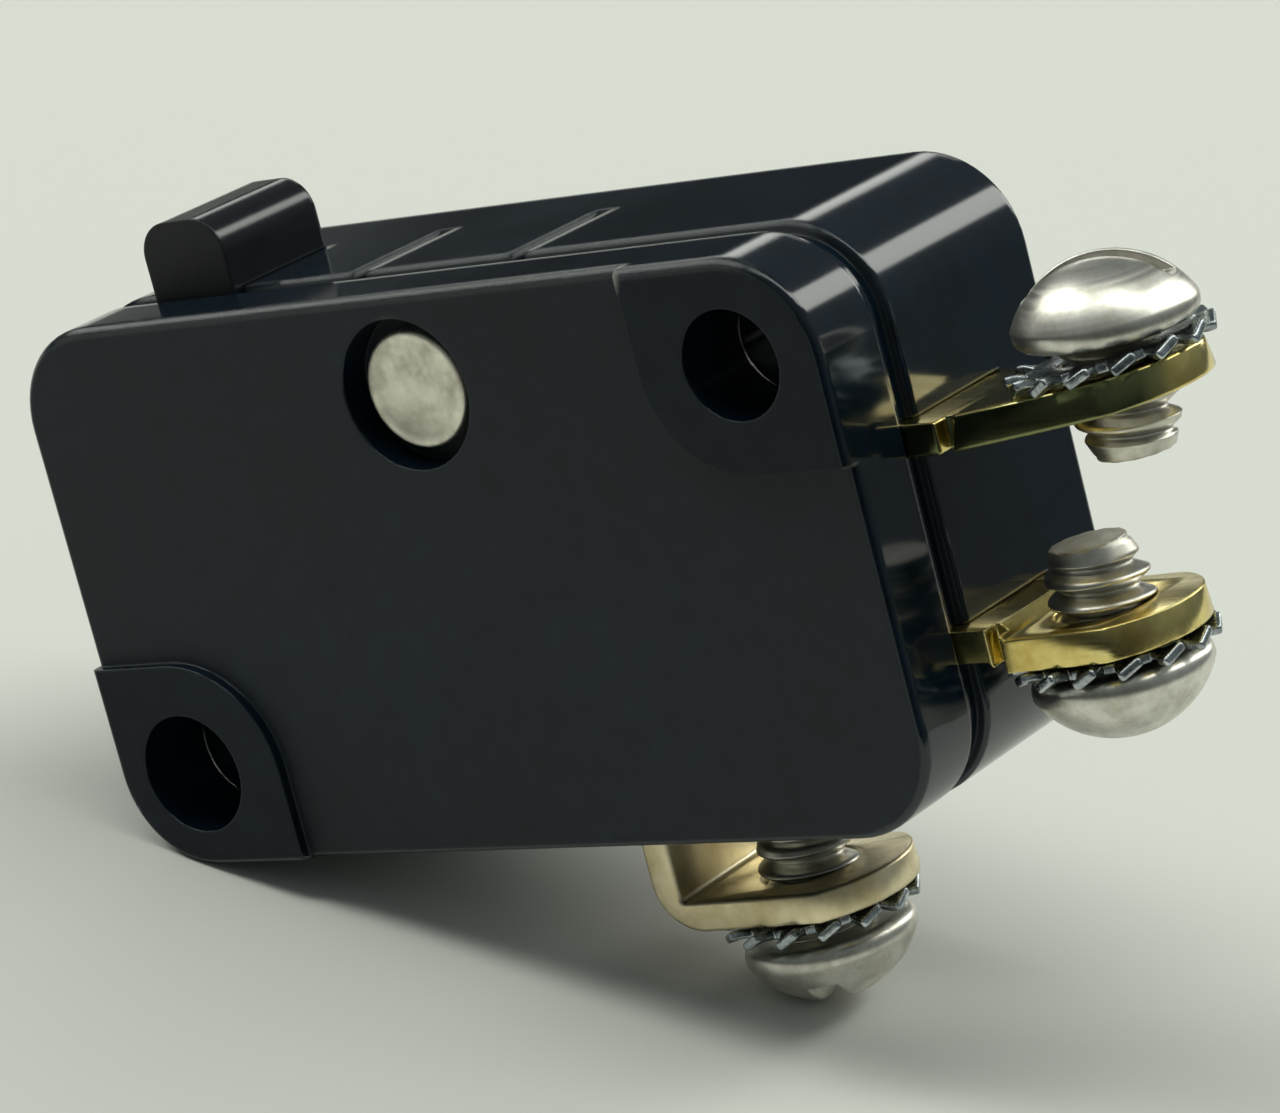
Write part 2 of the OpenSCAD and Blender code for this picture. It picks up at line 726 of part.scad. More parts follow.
// Slotted terminal screw; the strap's face is at zero and the head is up
module terminal_screw(turn) {
    color([0.75, 0.76, 0.74]) difference() {
        rotate_extrude() screw_section();
        rotate([0, 0, turn]) translate([-head_d, -slot_w / 2, washer_h + head_h - slot_depth])
            cube([2 * head_d, slot_w, head_h]);
    }
}

// External-tooth lock washer with twisted teeth, between the strap's face and the screw's head
module lock_washer() {
    ring_r = head_d / 2 - ring_inset;
    tooth_l = washer_d / 2 - ring_r + tooth_root;
    tooth_w = 2 * PI * ring_r / washer_teeth * tooth_fill;
    twist = asin((washer_h - 2 * fit - washer_t) / tooth_w);
    mid = washer_h / 2;
    color([0.68, 0.69, 0.68]) difference() {
        union() {
            translate([0, 0, mid - washer_t / 2]) cylinder(r = ring_r, h = washer_t);
            for (i = [0 : washer_teeth - 1])
                rotate([0, 0, 360 * i / washer_teeth]) translate([ring_r - tooth_root, 0, mid])
                    rotate([twist, 0, 0]) translate([0, -tooth_w / 2, -washer_t / 2])
                        cube([tooth_l, tooth_w, washer_t]);
        }
        cylinder(d = screw_d + 4 * thread_clear, h = washer_h * 2, center = true);
    }
}

module nc_screw() {
    at_screw(nc_seat, nc_tilt, true, nc_back, nc_lean) terminal_screw(nc_turn);
}

module no_screw() {
    at_screw(no_seat, no_tilt, false, 0, 0) terminal_screw(no_turn);
}

module common_screw() {
    at_screw(com_seat, com_tilt, false, com_back, 0) terminal_screw(com_turn);
}

module nc_lock_washer() {
    at_seat(nc_seat, nc_tilt, true) lock_washer();
}

module no_lock_washer() {
    at_seat(no_seat, no_tilt, false) lock_washer();
}

module common_lock_washer() {
    at_seat(com_seat, com_tilt, false) lock_washer();
}

base_case();
front_cover();
cover_rivet();
plunger();
nc_terminal();
no_terminal();
common_terminal();
nc_contact();
no_contact();
moving_contact();
spring_anchor();
anchor_rivet();
snap_blade();
bow_spring();
nc_screw();
no_screw();
common_screw();
nc_lock_washer();
no_lock_washer();
common_lock_washer();
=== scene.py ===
"""Looks of a pin plunger snap-action switch with three screw terminals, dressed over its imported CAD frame."""

import json
import math

import bmesh
import bpy
from mathutils import Matrix, Vector


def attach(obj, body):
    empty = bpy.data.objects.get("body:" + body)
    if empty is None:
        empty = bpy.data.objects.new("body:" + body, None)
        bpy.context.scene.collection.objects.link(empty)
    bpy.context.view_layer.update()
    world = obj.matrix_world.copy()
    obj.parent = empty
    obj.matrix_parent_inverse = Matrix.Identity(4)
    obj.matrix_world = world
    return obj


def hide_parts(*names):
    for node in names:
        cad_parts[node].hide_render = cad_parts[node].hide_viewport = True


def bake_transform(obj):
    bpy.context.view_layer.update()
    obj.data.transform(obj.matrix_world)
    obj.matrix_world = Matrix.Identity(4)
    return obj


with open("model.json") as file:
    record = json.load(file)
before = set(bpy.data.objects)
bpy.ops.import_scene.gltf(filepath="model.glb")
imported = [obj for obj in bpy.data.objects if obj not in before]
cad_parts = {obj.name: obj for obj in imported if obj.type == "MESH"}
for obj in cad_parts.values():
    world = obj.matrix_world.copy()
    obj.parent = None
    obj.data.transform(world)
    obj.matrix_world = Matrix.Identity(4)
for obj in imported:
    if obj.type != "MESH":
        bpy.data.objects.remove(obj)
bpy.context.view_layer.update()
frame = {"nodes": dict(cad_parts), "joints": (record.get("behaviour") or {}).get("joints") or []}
nodes = frame["nodes"]
joints = {j["name"]: j for j in frame["joints"]}
scene = bpy.context.scene
scene.view_settings.view_transform = "Standard"

MM = 0.001

# Sizes in millimetres, angles in degrees

# Case: the rounding that the material gives its edges, which grows between two heights near the top, the depth where
# the front top rim gets a painted highlight, and the step from the face to the raised pads
CASE_EDGE, TOP_EDGE_MORE = 0.12, 0.28
TOP_FROM, TOP_TO = 12.4, 12.8
RIM_FROM, RIM_TO = -3.6, -4.2
PAD_FROM, PAD_TO = -4.9, -5.1

# Straps: thickness, rounded edge, and how far inside the screw head's rim the slant of the blanked edge begins
STRAP_T, STRAP_EDGE, SLANT_INSET = 0.88, 0.12, 0.6

# Lock washers: the ring ends inside the head's rim, and each tooth takes up a share of its pitch and has a share of its
# length out of the ring
WASHER_D, WASHER_H, WASHER_T, WASHER_TEETH, WASHER_BORE = 5.6, 0.58, 0.27, 14, 2.92
RING_INSET, RING_EDGE, RING_STEPS = 0.25, 0.06, 96
TOOTH_SHARE, TOOTH_OUT = 0.74, 0.85

# Screws: the shank begins sunk in the head, where it flares out from a point, its thread has a small flat on crest and
# root, and its sheared end is rough over a short length; a turn is spare at each end of the thread
HEAD_D, HEAD_H, RIM_H, HEAD_EDGE = 4.9, 2.05, 0.5, 0.35
SLOT_W, SLOT_DEPTH, SLOT_EDGE = 0.8, 0.9, 0.07
CAP_COLUMNS, CAP_ROWS, DOME_ROWS = 44, 8, 8
CREST_D, ROOT_D, PITCH, SCREW_TAIL, END_CROWN = 2.84, 2.06, 0.635, 1.8, 0.06
SHANK_SUNK, SHANK_FLARE, THREAD_FLAT, THREAD_TAPER = 0.4, 8, 0.06, 0.42
THREAD_SIDES, THREAD_ROWS, SPARE_TURNS = 48, 12, 2
SHEARED_FROM, SHEARED_TO = 0.26, 0.06
SHANK = STRAP_T + SCREW_TAIL + WASHER_H
SHANK_LENGTH = SHANK + SHANK_SUNK

# Rivet: place, heights along its axis, radii, and the small roundings of its head and bore
RIVET_X, RIVET_Z, RIVET_FACE, RIVET_SEAT, RIVET_TAIL, RIVET_NECK = 11.1, 10.3, 4.35, 3.77, -4.7, 0.6
RIVET_HEAD_R, RIVET_R, RIVET_BORE_R, RIVET_TAIL_R, BORE_END = 1.65, 1.1, 0.6, 1.55, -2.2
RIVET_DISH, RIVET_RIM, RIVET_CORNER, RIVET_BURR, BORE_CORNER = 0.12, 0.2, 0.12, 0.05, 0.1
RIVET_STEPS, DISH_STEPS = 72, 10

# Snap blade: rounded edge, where its rivet lets go of it, where it is stiff again, and the number of cuts across it
# between
BLADE_EDGE, BLADE_HELD, BLADE_FREE, BLADE_BENDS = 0.03, 0.5, 5.4, 14

# Each terminal: the strap's set, which way its head points, the screw's lean, back-off and slot turn, and where the
# slant of the blanked edge starts along the strap with its share of the width
SEATS = {
    "nc": (7, 1, 7, 0.28, 23, -4.1, 0.14),
    "no": (2.5, -1, 0, 0, 144, 0.2, 0.08),
    "common": (2.5, -1, 0, 0.25, 70, 0.2, 0.03),
}

# Meshes: points closer than this are one, and edges are rounded, flattened or shaded sharp by their angle
WELD, EDGE_SEGMENTS = 0.001, 3
ROUND_ANGLE, FLAT_ANGLE, SHARP_ANGLE = 40, 0.5, 38
HALF_TURN = [math.radians(15 * i) for i in range(13)]
QUARTER = HALF_TURN[:7]

# Camera of the photograph, which sees from near to far in metres
PHOTO_WIDTH, FOCAL_PIXELS, SENSOR = 1280, 5380, 36
NEAR, FAR = 0.005, 5
CAMERA_AT = Vector((103.79, -111.30, 37.17)) * MM
RIGHT = Vector((0.7878, 0.5648, -0.2457))
DOWN = Vector((-0.0582, -0.3289, -0.9426))
FORWARD = Vector((-0.6132, 0.7568, -0.2262))

# Table, in metres: its edges round the switch, and the scale and shift that make its shown patch a unit circle
TABLE_NEAR, TABLE_FAR, TABLE_WIDE = -0.09, 0.15, 0.13
PATCH_SCALE, PATCH_SHIFT = (20, 11, 0), (0, -0.35, 0)
SWITCH_MIDDLE = Vector((13, 0, 4)) * MM

# The switch is tipped over by less than this, found in so many halvings
MOST_TIP, HALVINGS = 45, 40


def linear(colour):
    """An sRGB hex colour as linear RGBA."""
    parts = [int(colour[i : i + 2], 16) / 255 for i in (1, 3, 5)]
    return [c / 12.92 if c <= 0.04045 else ((c + 0.055) / 1.055) ** 2.4 for c in parts] + [1]


def add(tree, kind, links=None, values=None, **settings):
    """Adds a node with its settings, the values of its sockets and the links into them."""
    node = tree.nodes.new(kind)
    for name, value in settings.items():
        setattr(node, name, value)
    for socket, value in (values or {}).items():
        node.inputs[socket].default_value = value
    for socket, source in (links or {}).items():
        tree.links.new(source, node.inputs[socket])
    return node


# Materials

# How squarely a surface has to face along Y to count as front or back
FACE_ON = {"From Min": 0.9, "From Max": 0.99}


def per_mm(size):
    """A pattern's scale for features of a size in millimetres."""
    return 1 / (size * MM)


def new_material(name, edge, **values):
    """A Principled material whose sharp edges look rounded; returns it with its tree, shader, rounded normal and a mask
    of its edges, used for edge wear and, on the phenolic, for a painted highlight."""
    material = bpy.data.materials.new(name)
    material.use_nodes = True
    tree = material.node_tree
    shader = tree.nodes["Principled BSDF"]
    for socket, value in values.items():
        shader.inputs[socket.replace("_", " ")].default_value = value
    rounded = add(tree, "ShaderNodeBevel", values={"Radius": edge * MM}, samples=6).outputs["Normal"]
    true = add(tree, "ShaderNodeNewGeometry")
    bend = add(tree, "ShaderNodeVectorMath", {0: rounded, 1: true.outputs["Normal"]}, operation="DOT_PRODUCT")
    edge_mask = add(tree, "ShaderNodeMapRange", {"Value": bend.outputs["Value"]}, {"From Min": 0.99, "From Max": 0.8})
    return material, tree, shader, rounded, edge_mask.outputs["Result"]


def dress(tree, shader, colour, rough, normal):
    """Links a finished colour, roughness and normal into a shader."""
    for socket, source in (("Base Color", colour), ("Roughness", rough), ("Normal", normal)):
        tree.links.new(source, shader.inputs[socket])


def facing_y(tree):
    """How squarely a surface faces along Y, to the front or to the back."""
    normal = add(tree, "ShaderNodeSeparateXYZ", {"Vector": add(tree, "ShaderNodeTexCoord").outputs["Normal"]})
    return add(tree, "ShaderNodeMath", {0: normal.outputs["Y"]}, operation="ABSOLUTE").outputs["Value"]


def moulded_phenolic():
    """Phenolic powder pressed in a steel tool: a blue-black skin with a faint mottle of filler, dull on the sanded
    front and back, mirror-like on the drawn walls, and a little polished along its edges, with a painted highlight
    along the front top edge."""
    material, tree, shader, rounded, edge_mask = new_material("moulded_black_phenolic", edge=CASE_EDGE, IOR=1.52)
    place = add(tree, "ShaderNodeTexCoord").outputs["Object"]
    filler = add(
        tree, "ShaderNodeTexNoise", {"Vector": place}, {"Scale": per_mm(0.8), "Detail": 3, "Roughness": 0.6}
    )
    cloud = add(tree, "ShaderNodeTexNoise", {"Vector": place}, {"Scale": per_mm(6), "Detail": 2})
    mottle = add(tree, "ShaderNodeMath", {0: filler.outputs["Fac"], 1: cloud.outputs["Fac"]}, operation="MULTIPLY")
    spread = add(tree, "ShaderNodeMapRange", {"Value": mottle.outputs["Value"]}, {"From Min": 0.12, "From Max": 0.4})
    tone = add(
        tree, "ShaderNodeMix", {"Factor": spread.outputs["Result"]},
        {"A": linear("#060f17"), "B": linear("#0c1c28")}, data_type="RGBA",
    )
    # The top edges are rounder, and the front one is painted pale as a painted highlight
    spot = add(tree, "ShaderNodeSeparateXYZ", {"Vector": place})
    top = add(
        tree, "ShaderNodeMapRange", {"Value": spot.outputs["Z"]}, {"From Min": TOP_FROM * MM, "From Max": TOP_TO * MM}
    )
    radius = add(
        tree, "ShaderNodeMath", {0: top.outputs["Result"]},
        {1: TOP_EDGE_MORE * MM, 2: CASE_EDGE * MM}, operation="MULTIPLY_ADD",
    )
    tree.links.new(radius.outputs["Value"], rounded.node.inputs["Radius"])
    front = add(
        tree, "ShaderNodeMapRange", {"Value": spot.outputs["Y"]}, {"From Min": RIM_FROM * MM, "From Max": RIM_TO * MM}
    )
    rim = add(tree, "ShaderNodeMath", {0: top.outputs["Result"], 1: front.outputs["Result"]}, operation="MULTIPLY")
    # Worn edges are a little lighter, and along the front top rim they are painted pale as a painted highlight
    wear_and_painted_highlight = add(
        tree, "ShaderNodeMix", {"Factor": rim.outputs["Value"]},
        {"A": linear("#182429"), "B": linear("#b0b2a8")}, data_type="RGBA",
    )
    edge = add(
        tree, "ShaderNodeMix", {"Factor": edge_mask, "A": tone.outputs["Result"], "B": wear_and_painted_highlight.outputs["Result"]},
        data_type="RGBA",
    )
    facing = facing_y(tree)
    rough = add(tree, "ShaderNodeMapRange", {"Value": facing}, {**FACE_ON, "To Min": 0.08, "To Max": 0.66})
    patchy = add(
        tree, "ShaderNodeMath", {0: cloud.outputs["Fac"], 2: rough.outputs["Result"]}, {1: 0.06},
        operation="MULTIPLY_ADD",
    )
    # The raised pads were rubbed down a little coarser than the face between them
    pad = add(
        tree, "ShaderNodeMapRange", {"Value": spot.outputs["Y"]},
        {"From Min": PAD_FROM * MM, "From Max": PAD_TO * MM, "To Min": 1, "To Max": 1.25},
    )
    rubbed = add(tree, "ShaderNodeMath", {0: patchy.outputs["Value"], 1: pad.outputs["Result"]}, operation="MULTIPLY")
    # Sanding leaves a grain of about 0.1 mm on the faces only
    grain = add(tree, "ShaderNodeTexNoise", {"Vector": place}, {"Scale": per_mm(0.1), "Detail": 2})
    sanded = add(tree, "ShaderNodeMapRange", {"Value": facing}, {**FACE_ON, "To Min": 0, "To Max": 0.3})
    bump = add(
        tree, "ShaderNodeBump",
        {"Height": grain.outputs["Fac"], "Strength": sanded.outputs["Result"], "Normal": rounded},
        {"Distance": 0.02 * MM},
    )
    dress(tree, shader, edge.outputs["Result"], rubbed.outputs["Value"], bump.outputs["Normal"])
    return material


def moulded_acetal():
    """Black acetal from a polished tool: near-black and glossy, with fine upright rub marks from its guide."""
    material, tree, shader, rounded, edge_mask = new_material("moulded_black_acetal", edge=0.15, IOR=1.48)
    place = add(tree, "ShaderNodeTexCoord").outputs["Object"]
    marks = add(
        tree, "ShaderNodeMapping", {"Vector": place}, {"Scale": (per_mm(0.09), per_mm(0.09), per_mm(2.5))}
    )
    rubbed = add(tree, "ShaderNodeTexNoise", {"Vector": marks.outputs["Vector"]}, {"Scale": 1, "Detail": 3})
    cloud = add(tree, "ShaderNodeTexNoise", {"Vector": place}, {"Scale": per_mm(1.2), "Detail": 3})
    tone = add(
        tree, "ShaderNodeMix", {"Factor": cloud.outputs["Fac"]},
        {"A": linear("#070b0f"), "B": linear("#10161b")}, data_type="RGBA",
    )
    edge = add(
        tree, "ShaderNodeMix", {"Factor": edge_mask, "A": tone.outputs["Result"]}, {"B": linear("#202427")},
        data_type="RGBA",
    )
    rough = add(
        tree, "ShaderNodeMapRange", {"Value": rubbed.outputs["Fac"]},
        {"From Min": 0.3, "From Max": 0.7, "To Min": 0.14, "To Max": 0.2},
    )
    dull = add(tree, "ShaderNodeMapRange", {"Value": facing_y(tree)}, {**FACE_ON, "To Max": 0.4})
    both = add(tree, "ShaderNodeMath", {0: rough.outputs["Result"], 1: dull.outputs["Result"]}, operation="ADD")
    bump = add(
        tree, "ShaderNodeBump", {"Height": rubbed.outputs["Fac"], "Normal": rounded},
        {"Strength": 0.03, "Distance": 0.01 * MM},
    )
    dress(tree, shader, edge.outputs["Result"], both.outputs["Value"], bump.outputs["Normal"])
    return material


def worked_metal(name, bright, dull, bare, gloss, matte, stain, grain, relief, own=False, cut=None):
    """A metal stained in patches of one size, marked by its making along X, Y and Z, and rubbed bare along its edges.
    Sizes are in millimetres. A piece that was turned over to its place keeps its marks in its own frame. A cut colour
    is painted on the edges that face along Y as a painted dark reflection."""
    material, tree, shader, rounded, edge_mask = new_material(name, edge=0.06, Metallic=1.0)
    if own:
        place = add(tree, "ShaderNodeAttribute", attribute_name="own_place").outputs["Vector"]
    else:
        place = add(tree, "ShaderNodeTexCoord").outputs["Object"]
    patch = add(
        tree, "ShaderNodeTexNoise", {"Vector": place}, {"Scale": per_mm(stain), "Detail": 5, "Roughness": 0.6}
    )
    spread = add(tree, "ShaderNodeMapRange", {"Value": patch.outputs["Fac"]}, {"From Min": 0.38, "From Max": 0.66})
    tone = add(
        tree, "ShaderNodeMix", {"Factor": spread.outputs["Result"]}, {"A": linear(bright), "B": linear(dull)},
        data_type="RGBA",
    )
    # A cut colour paints the edges that face along Y darker, a painted dark reflection
    if cut:
        sheared = add(tree, "ShaderNodeMapRange", {"Value": facing_y(tree)}, {"From Min": 0.35, "From Max": 0.75})
        tone = add(
            tree, "ShaderNodeMix", {"Factor": sheared.outputs["Result"], "A": tone.outputs["Result"]},
            {"B": linear(cut)}, data_type="RGBA",
        )
    edge = add(
        tree, "ShaderNodeMix", {"Factor": edge_mask, "A": tone.outputs["Result"]}, {"B": linear(bare)}, data_type="RGBA"
    )
    drawn = add(tree, "ShaderNodeMapping", {"Vector": place}, {"Scale": [per_mm(g) for g in grain]})
    marks = add(tree, "ShaderNodeTexNoise", {"Vector": drawn.outputs["Vector"]}, {"Scale": 1, "Detail": 4})
    both = add(tree, "ShaderNodeMath", {0: marks.outputs["Fac"], 1: patch.outputs["Fac"]}, operation="ADD")
    rough = add(
        tree, "ShaderNodeMapRange", {"Value": both.outputs["Value"]},
        {"From Min": 0.7, "From Max": 1.3, "To Min": gloss, "To Max": matte},
    )
    bump = add(
        tree, "ShaderNodeBump", {"Height": marks.outputs["Fac"], "Normal": rounded},
        {"Strength": relief, "Distance": 0.01 * MM},
    )
    dress(tree, shader, edge.outputs["Result"], rough.outputs["Result"], bump.outputs["Normal"])
    return material


def turned_nickel():
    """Nickel plate over turned steel: bright and a little warm, with fine rings round each head and dirt in the
    thread."""
    material, tree, shader, rounded, edge_mask = new_material("nickel_plated_turned_steel", edge=0.05, Metallic=1.0)
    place = add(tree, "ShaderNodeAttribute", attribute_name="own_place").outputs["Vector"]
    across = add(tree, "ShaderNodeVectorMath", {0: place}, {1: (1, 1, 0)}, operation="MULTIPLY")
    radius = add(tree, "ShaderNodeVectorMath", {0: across.outputs["Vector"]}, operation="LENGTH")
    rings = add(
        tree, "ShaderNodeTexNoise", {"W": radius.outputs["Value"]}, {"Scale": per_mm(0.12), "Detail": 3},
        noise_dimensions="1D",
    )
    patch = add(
        tree, "ShaderNodeTexNoise", {"Vector": place}, {"Scale": per_mm(0.8), "Detail": 5, "Roughness": 0.65}
    )
    spread = add(tree, "ShaderNodeMapRange", {"Value": patch.outputs["Fac"]}, {"From Min": 0.4, "From Max": 0.7})
    tone = add(
        tree, "ShaderNodeMix", {"Factor": spread.outputs["Result"]},
        {"A": linear("#e3e0d6"), "B": linear("#b9b6aa")}, data_type="RGBA",
    )
    # The thread begins under the head, at height 0
    height = add(tree, "ShaderNodeSeparateXYZ", {0: place}).outputs["Z"]
    thread = add(tree, "ShaderNodeMapRange", {"Value": height}, {"From Min": 0.1 * MM, "From Max": -0.1 * MM})
    soiled = add(tree, "ShaderNodeMath", {0: thread.outputs["Result"], 1: patch.outputs["Fac"]}, operation="MULTIPLY")
    dirt = add(
        tree, "ShaderNodeMix", {"Factor": soiled.outputs["Value"], "A": tone.outputs["Result"]},
        {"B": linear("#b4b0a3")}, data_type="RGBA",
    )
    edge = add(
        tree, "ShaderNodeMix", {"Factor": edge_mask, "A": dirt.outputs["Result"]}, {"B": linear("#eeebe2")},
        data_type="RGBA",
    )
    both = add(tree, "ShaderNodeMath", {0: rings.outputs["Fac"], 1: patch.outputs["Fac"]}, operation="ADD")
    rough = add(
        tree, "ShaderNodeMapRange", {"Value": both.outputs["Value"]},
        {"From Min": 0.7, "From Max": 1.3, "To Min": 0.28, "To Max": 0.4},
    )
    # The sheared end of the shank is rough
    cut = add(
        tree, "ShaderNodeMapRange", {"Value": height},
        {"From Min": -(SHANK - SHEARED_FROM) * MM, "From Max": -(SHANK - SHEARED_TO) * MM, "To Max": 0.2},
    )
    sheared = add(tree, "ShaderNodeMath", {0: rough.outputs["Result"], 1: cut.outputs["Result"]}, operation="ADD")
    bump = add(
        tree, "ShaderNodeBump", {"Height": rings.outputs["Fac"], "Normal": rounded},
        {"Strength": 0.06, "Distance": 0.01 * MM},
    )
    dress(tree, shader, edge.outputs["Result"], sheared.outputs["Value"], bump.outputs["Normal"])
    return material


phenolic = moulded_phenolic()
acetal = moulded_acetal()
nickel = turned_nickel()
# Half-hard brass strip: pale greenish yellow, rolling lines along the strap, brown finger stains, bright cut edges
STRIP = {
    "bright": "#f3e398", "dull": "#cbb263", "bare": "#f8f0c4", "stain": 1.6, "grain": (3, 0.07, 0.07), "relief": 0.15,
}
brass = worked_metal("rolled_brass_strip", gloss=0.13, matte=0.26, **STRIP)
# The same strip with its sheared edges painted a dark olive, a painted dark reflection, bare only along their corners
olive_brass = worked_metal("brass_strip_painted_dark_edges", gloss=0.12, matte=0.25, cut="#7d8258", **STRIP)
# The same strip where fingers and flux have dulled it to a pale tan
tan_brass = worked_metal(
    "dulled_brass_strip", "#ece0bd", "#cdbd92", "#f2ead0",
    gloss=0.3, matte=0.45, stain=1.6, grain=(0.07, 0.07, 3), relief=0.2,
)
# Zinc on hardened spring steel: blue-grey and dull, with a fine blasted grain and bright corners on the teeth
zinc = worked_metal(
    "zinc_plated_spring_steel", "#c6cdcf", "#5f686d", "#cfd5d6",
    gloss=0.2, matte=0.36, stain=0.6, grain=(0.1, 0.1, 0.1), relief=0.1, own=True,
)
# Soft tinned steel set with a flat punch: pale, matte, mottled grey where the punch bruised the tin
tin = worked_metal(
    "punched_tinned_steel", "#f0ecdd", "#cfcabb", "#dcd8ca",
    gloss=0.4, matte=0.58, stain=0.9, grain=(0.2, 0.2, 0.2), relief=0.3,
)
# Fine silver contact button, pressed and a little burnt: soft grey bloom with darker specks
silver = worked_metal(
    "pressed_fine_silver", "#e9e7e1", "#8f8d86", "#f4f2ec",
    gloss=0.3, matte=0.5, stain=0.35, grain=(0.06, 0.06, 0.06), relief=0.4,
)
# Rolled beryllium copper spring sheet: warm and satin, lines along the sheet
copper = worked_metal(
    "rolled_beryllium_copper", "#dba47c", "#ab704c", "#ecc4a2",
    gloss=0.2, matte=0.34, stain=1.5, grain=(4, 0.05, 0.05), relief=0.2,
)
# Blanked nickel silver: greyish white, satin, lightly lined along its length
nickel_silver = worked_metal(
    "blanked_nickel_silver", "#d3cec0", "#a19a88", "#e4e0d4",
    gloss=0.24, matte=0.4, stain=1.2, grain=(3, 0.06, 0.06), relief=0.25,
)

FINISH = {
    "base_case": phenolic, "front_cover": phenolic, "plunger": acetal, "cover_rivet": tin,
    "nc_terminal": olive_brass, "no_terminal": brass, "common_terminal": tan_brass,
    "nc_contact": silver, "no_contact": silver, "moving_contact": silver,
    "spring_anchor": nickel_silver, "anchor_rivet": tin, "snap_blade": copper, "bow_spring": copper,
    "nc_screw": nickel, "no_screw": nickel, "common_screw": nickel,
    "nc_lock_washer": zinc, "no_lock_washer": zinc, "common_lock_washer": zinc,
}
for name, material in FINISH.items():
    for slot in nodes[name].material_slots:
        slot.material = material

# Shapes


def show(name, mesh, body, node):
    """Puts a finished mesh in the scene as the piece that stands for a CAD node."""
    piece = bpy.data.objects.new(name, mesh)
    scene.collection.objects.link(piece)
    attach(piece, body)
    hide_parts(node)


def evaluated(mesh, build):
    """The plain mesh that modifiers give, which build adds to a passing object."""
    carrier = bpy.data.objects.new("carrier", mesh)
    scene.collection.objects.link(carrier)
    build(carrier)
    graph = bpy.context.evaluated_depsgraph_get()
    result = bpy.data.meshes.new_from_object(carrier.evaluated_get(graph), depsgraph=graph)
    bpy.data.objects.remove(carrier)
    return result


def from_tree(tree, mesh, values):
    """The plain mesh that a geometry node tree makes with the named inputs."""

    def build(carrier):
        """Adds the tree with its inputs set."""
        modifier = carrier.modifiers.new("shape", "NODES")
        modifier.node_group = tree
        for item in tree.interface.items_tree:
            if item.in_out == "INPUT" and item.name in values:
                modifier[item.identifier] = values[item.name]

    return evaluated(mesh, build)


def new_tree(name, **inputs):
    """A geometry node tree with named inputs; returns it with its input and output sockets."""
    tree = bpy.data.node_groups.new(name, "GeometryNodeTree")
    for label, kind in inputs.items():
        tree.interface.new_socket(label.replace("_", " "), in_out="INPUT", socket_type="NodeSocket" + kind)
    tree.interface.new_socket("Geometry", in_out="OUTPUT", socket_type="NodeSocketGeometry")
    return tree, tree.nodes.new("NodeGroupInput").outputs, tree.nodes.new("NodeGroupOutput").inputs


def end_tree(tree, parts, given, made):
    """Ends a geometry node tree: joins its parts, makes instances real and sets their finish."""
    whole = add(tree, "GeometryNodeJoinGeometry")
    for part in parts:
        tree.links.new(part, whole.inputs[0])
    real = add(tree, "GeometryNodeRealizeInstances", {0: whole.outputs[0]})
    finish = add(tree, "GeometryNodeSetMaterial", {"Geometry": real.outputs[0], "Material": given["Finish"]})
    tree.links.new(finish.outputs[0], made["Geometry"])


def softened(node, width):
    """A copy of a CAD mesh with its sharp edges rounded."""
    mesh = nodes[node].data.copy()
    work = bmesh.new()
    work.from_mesh(mesh)
    bmesh.ops.remove_doubles(work, verts=work.verts, dist=WELD * MM)
    bmesh.ops.dissolve_limit(work, angle_limit=math.radians(FLAT_ANGLE), verts=work.verts, edges=work.edges)
    for face in work.faces:
        face.smooth = True
    work.to_mesh(mesh)
    work.free()

    def build(carrier):
        """Adds the rounding."""
        bevel = carrier.modifiers.new("edges", "BEVEL")
        bevel.width, bevel.segments = width * MM, EDGE_SEGMENTS
        bevel.limit_method, bevel.angle_limit = "ANGLE", math.radians(ROUND_ANGLE)
        bevel.harden_normals = True

    return evaluated(mesh, build)


def ringed(work, profile, angles):
    """Rings of points about Z at a profile's radii and heights, joined by faces; a radius of 0 is one point."""
    rings = []
    for r, z in profile:
        rings.append([work.verts.new((r * math.cos(a), r * math.sin(a), z)) for a in (angles if r else [0])])
    for lower, upper in zip(rings, rings[1:]):
        for i in range(len(angles)):
            j = (i + 1) % len(angles)
            corners = [lower[i % len(lower)], lower[j % len(lower)], upper[j % len(upper)], upper[i % len(upper)]]
            work.faces.new(list(dict.fromkeys(corners)))
    return rings


def closed_mesh(work, name):
    """The mesh of a finished closed shell, with its faces outwards."""
    bmesh.ops.recalc_face_normals(work, faces=work.faces)
    mesh = bpy.data.meshes.new(name)
    work.to_mesh(mesh)
    work.free()
    return mesh


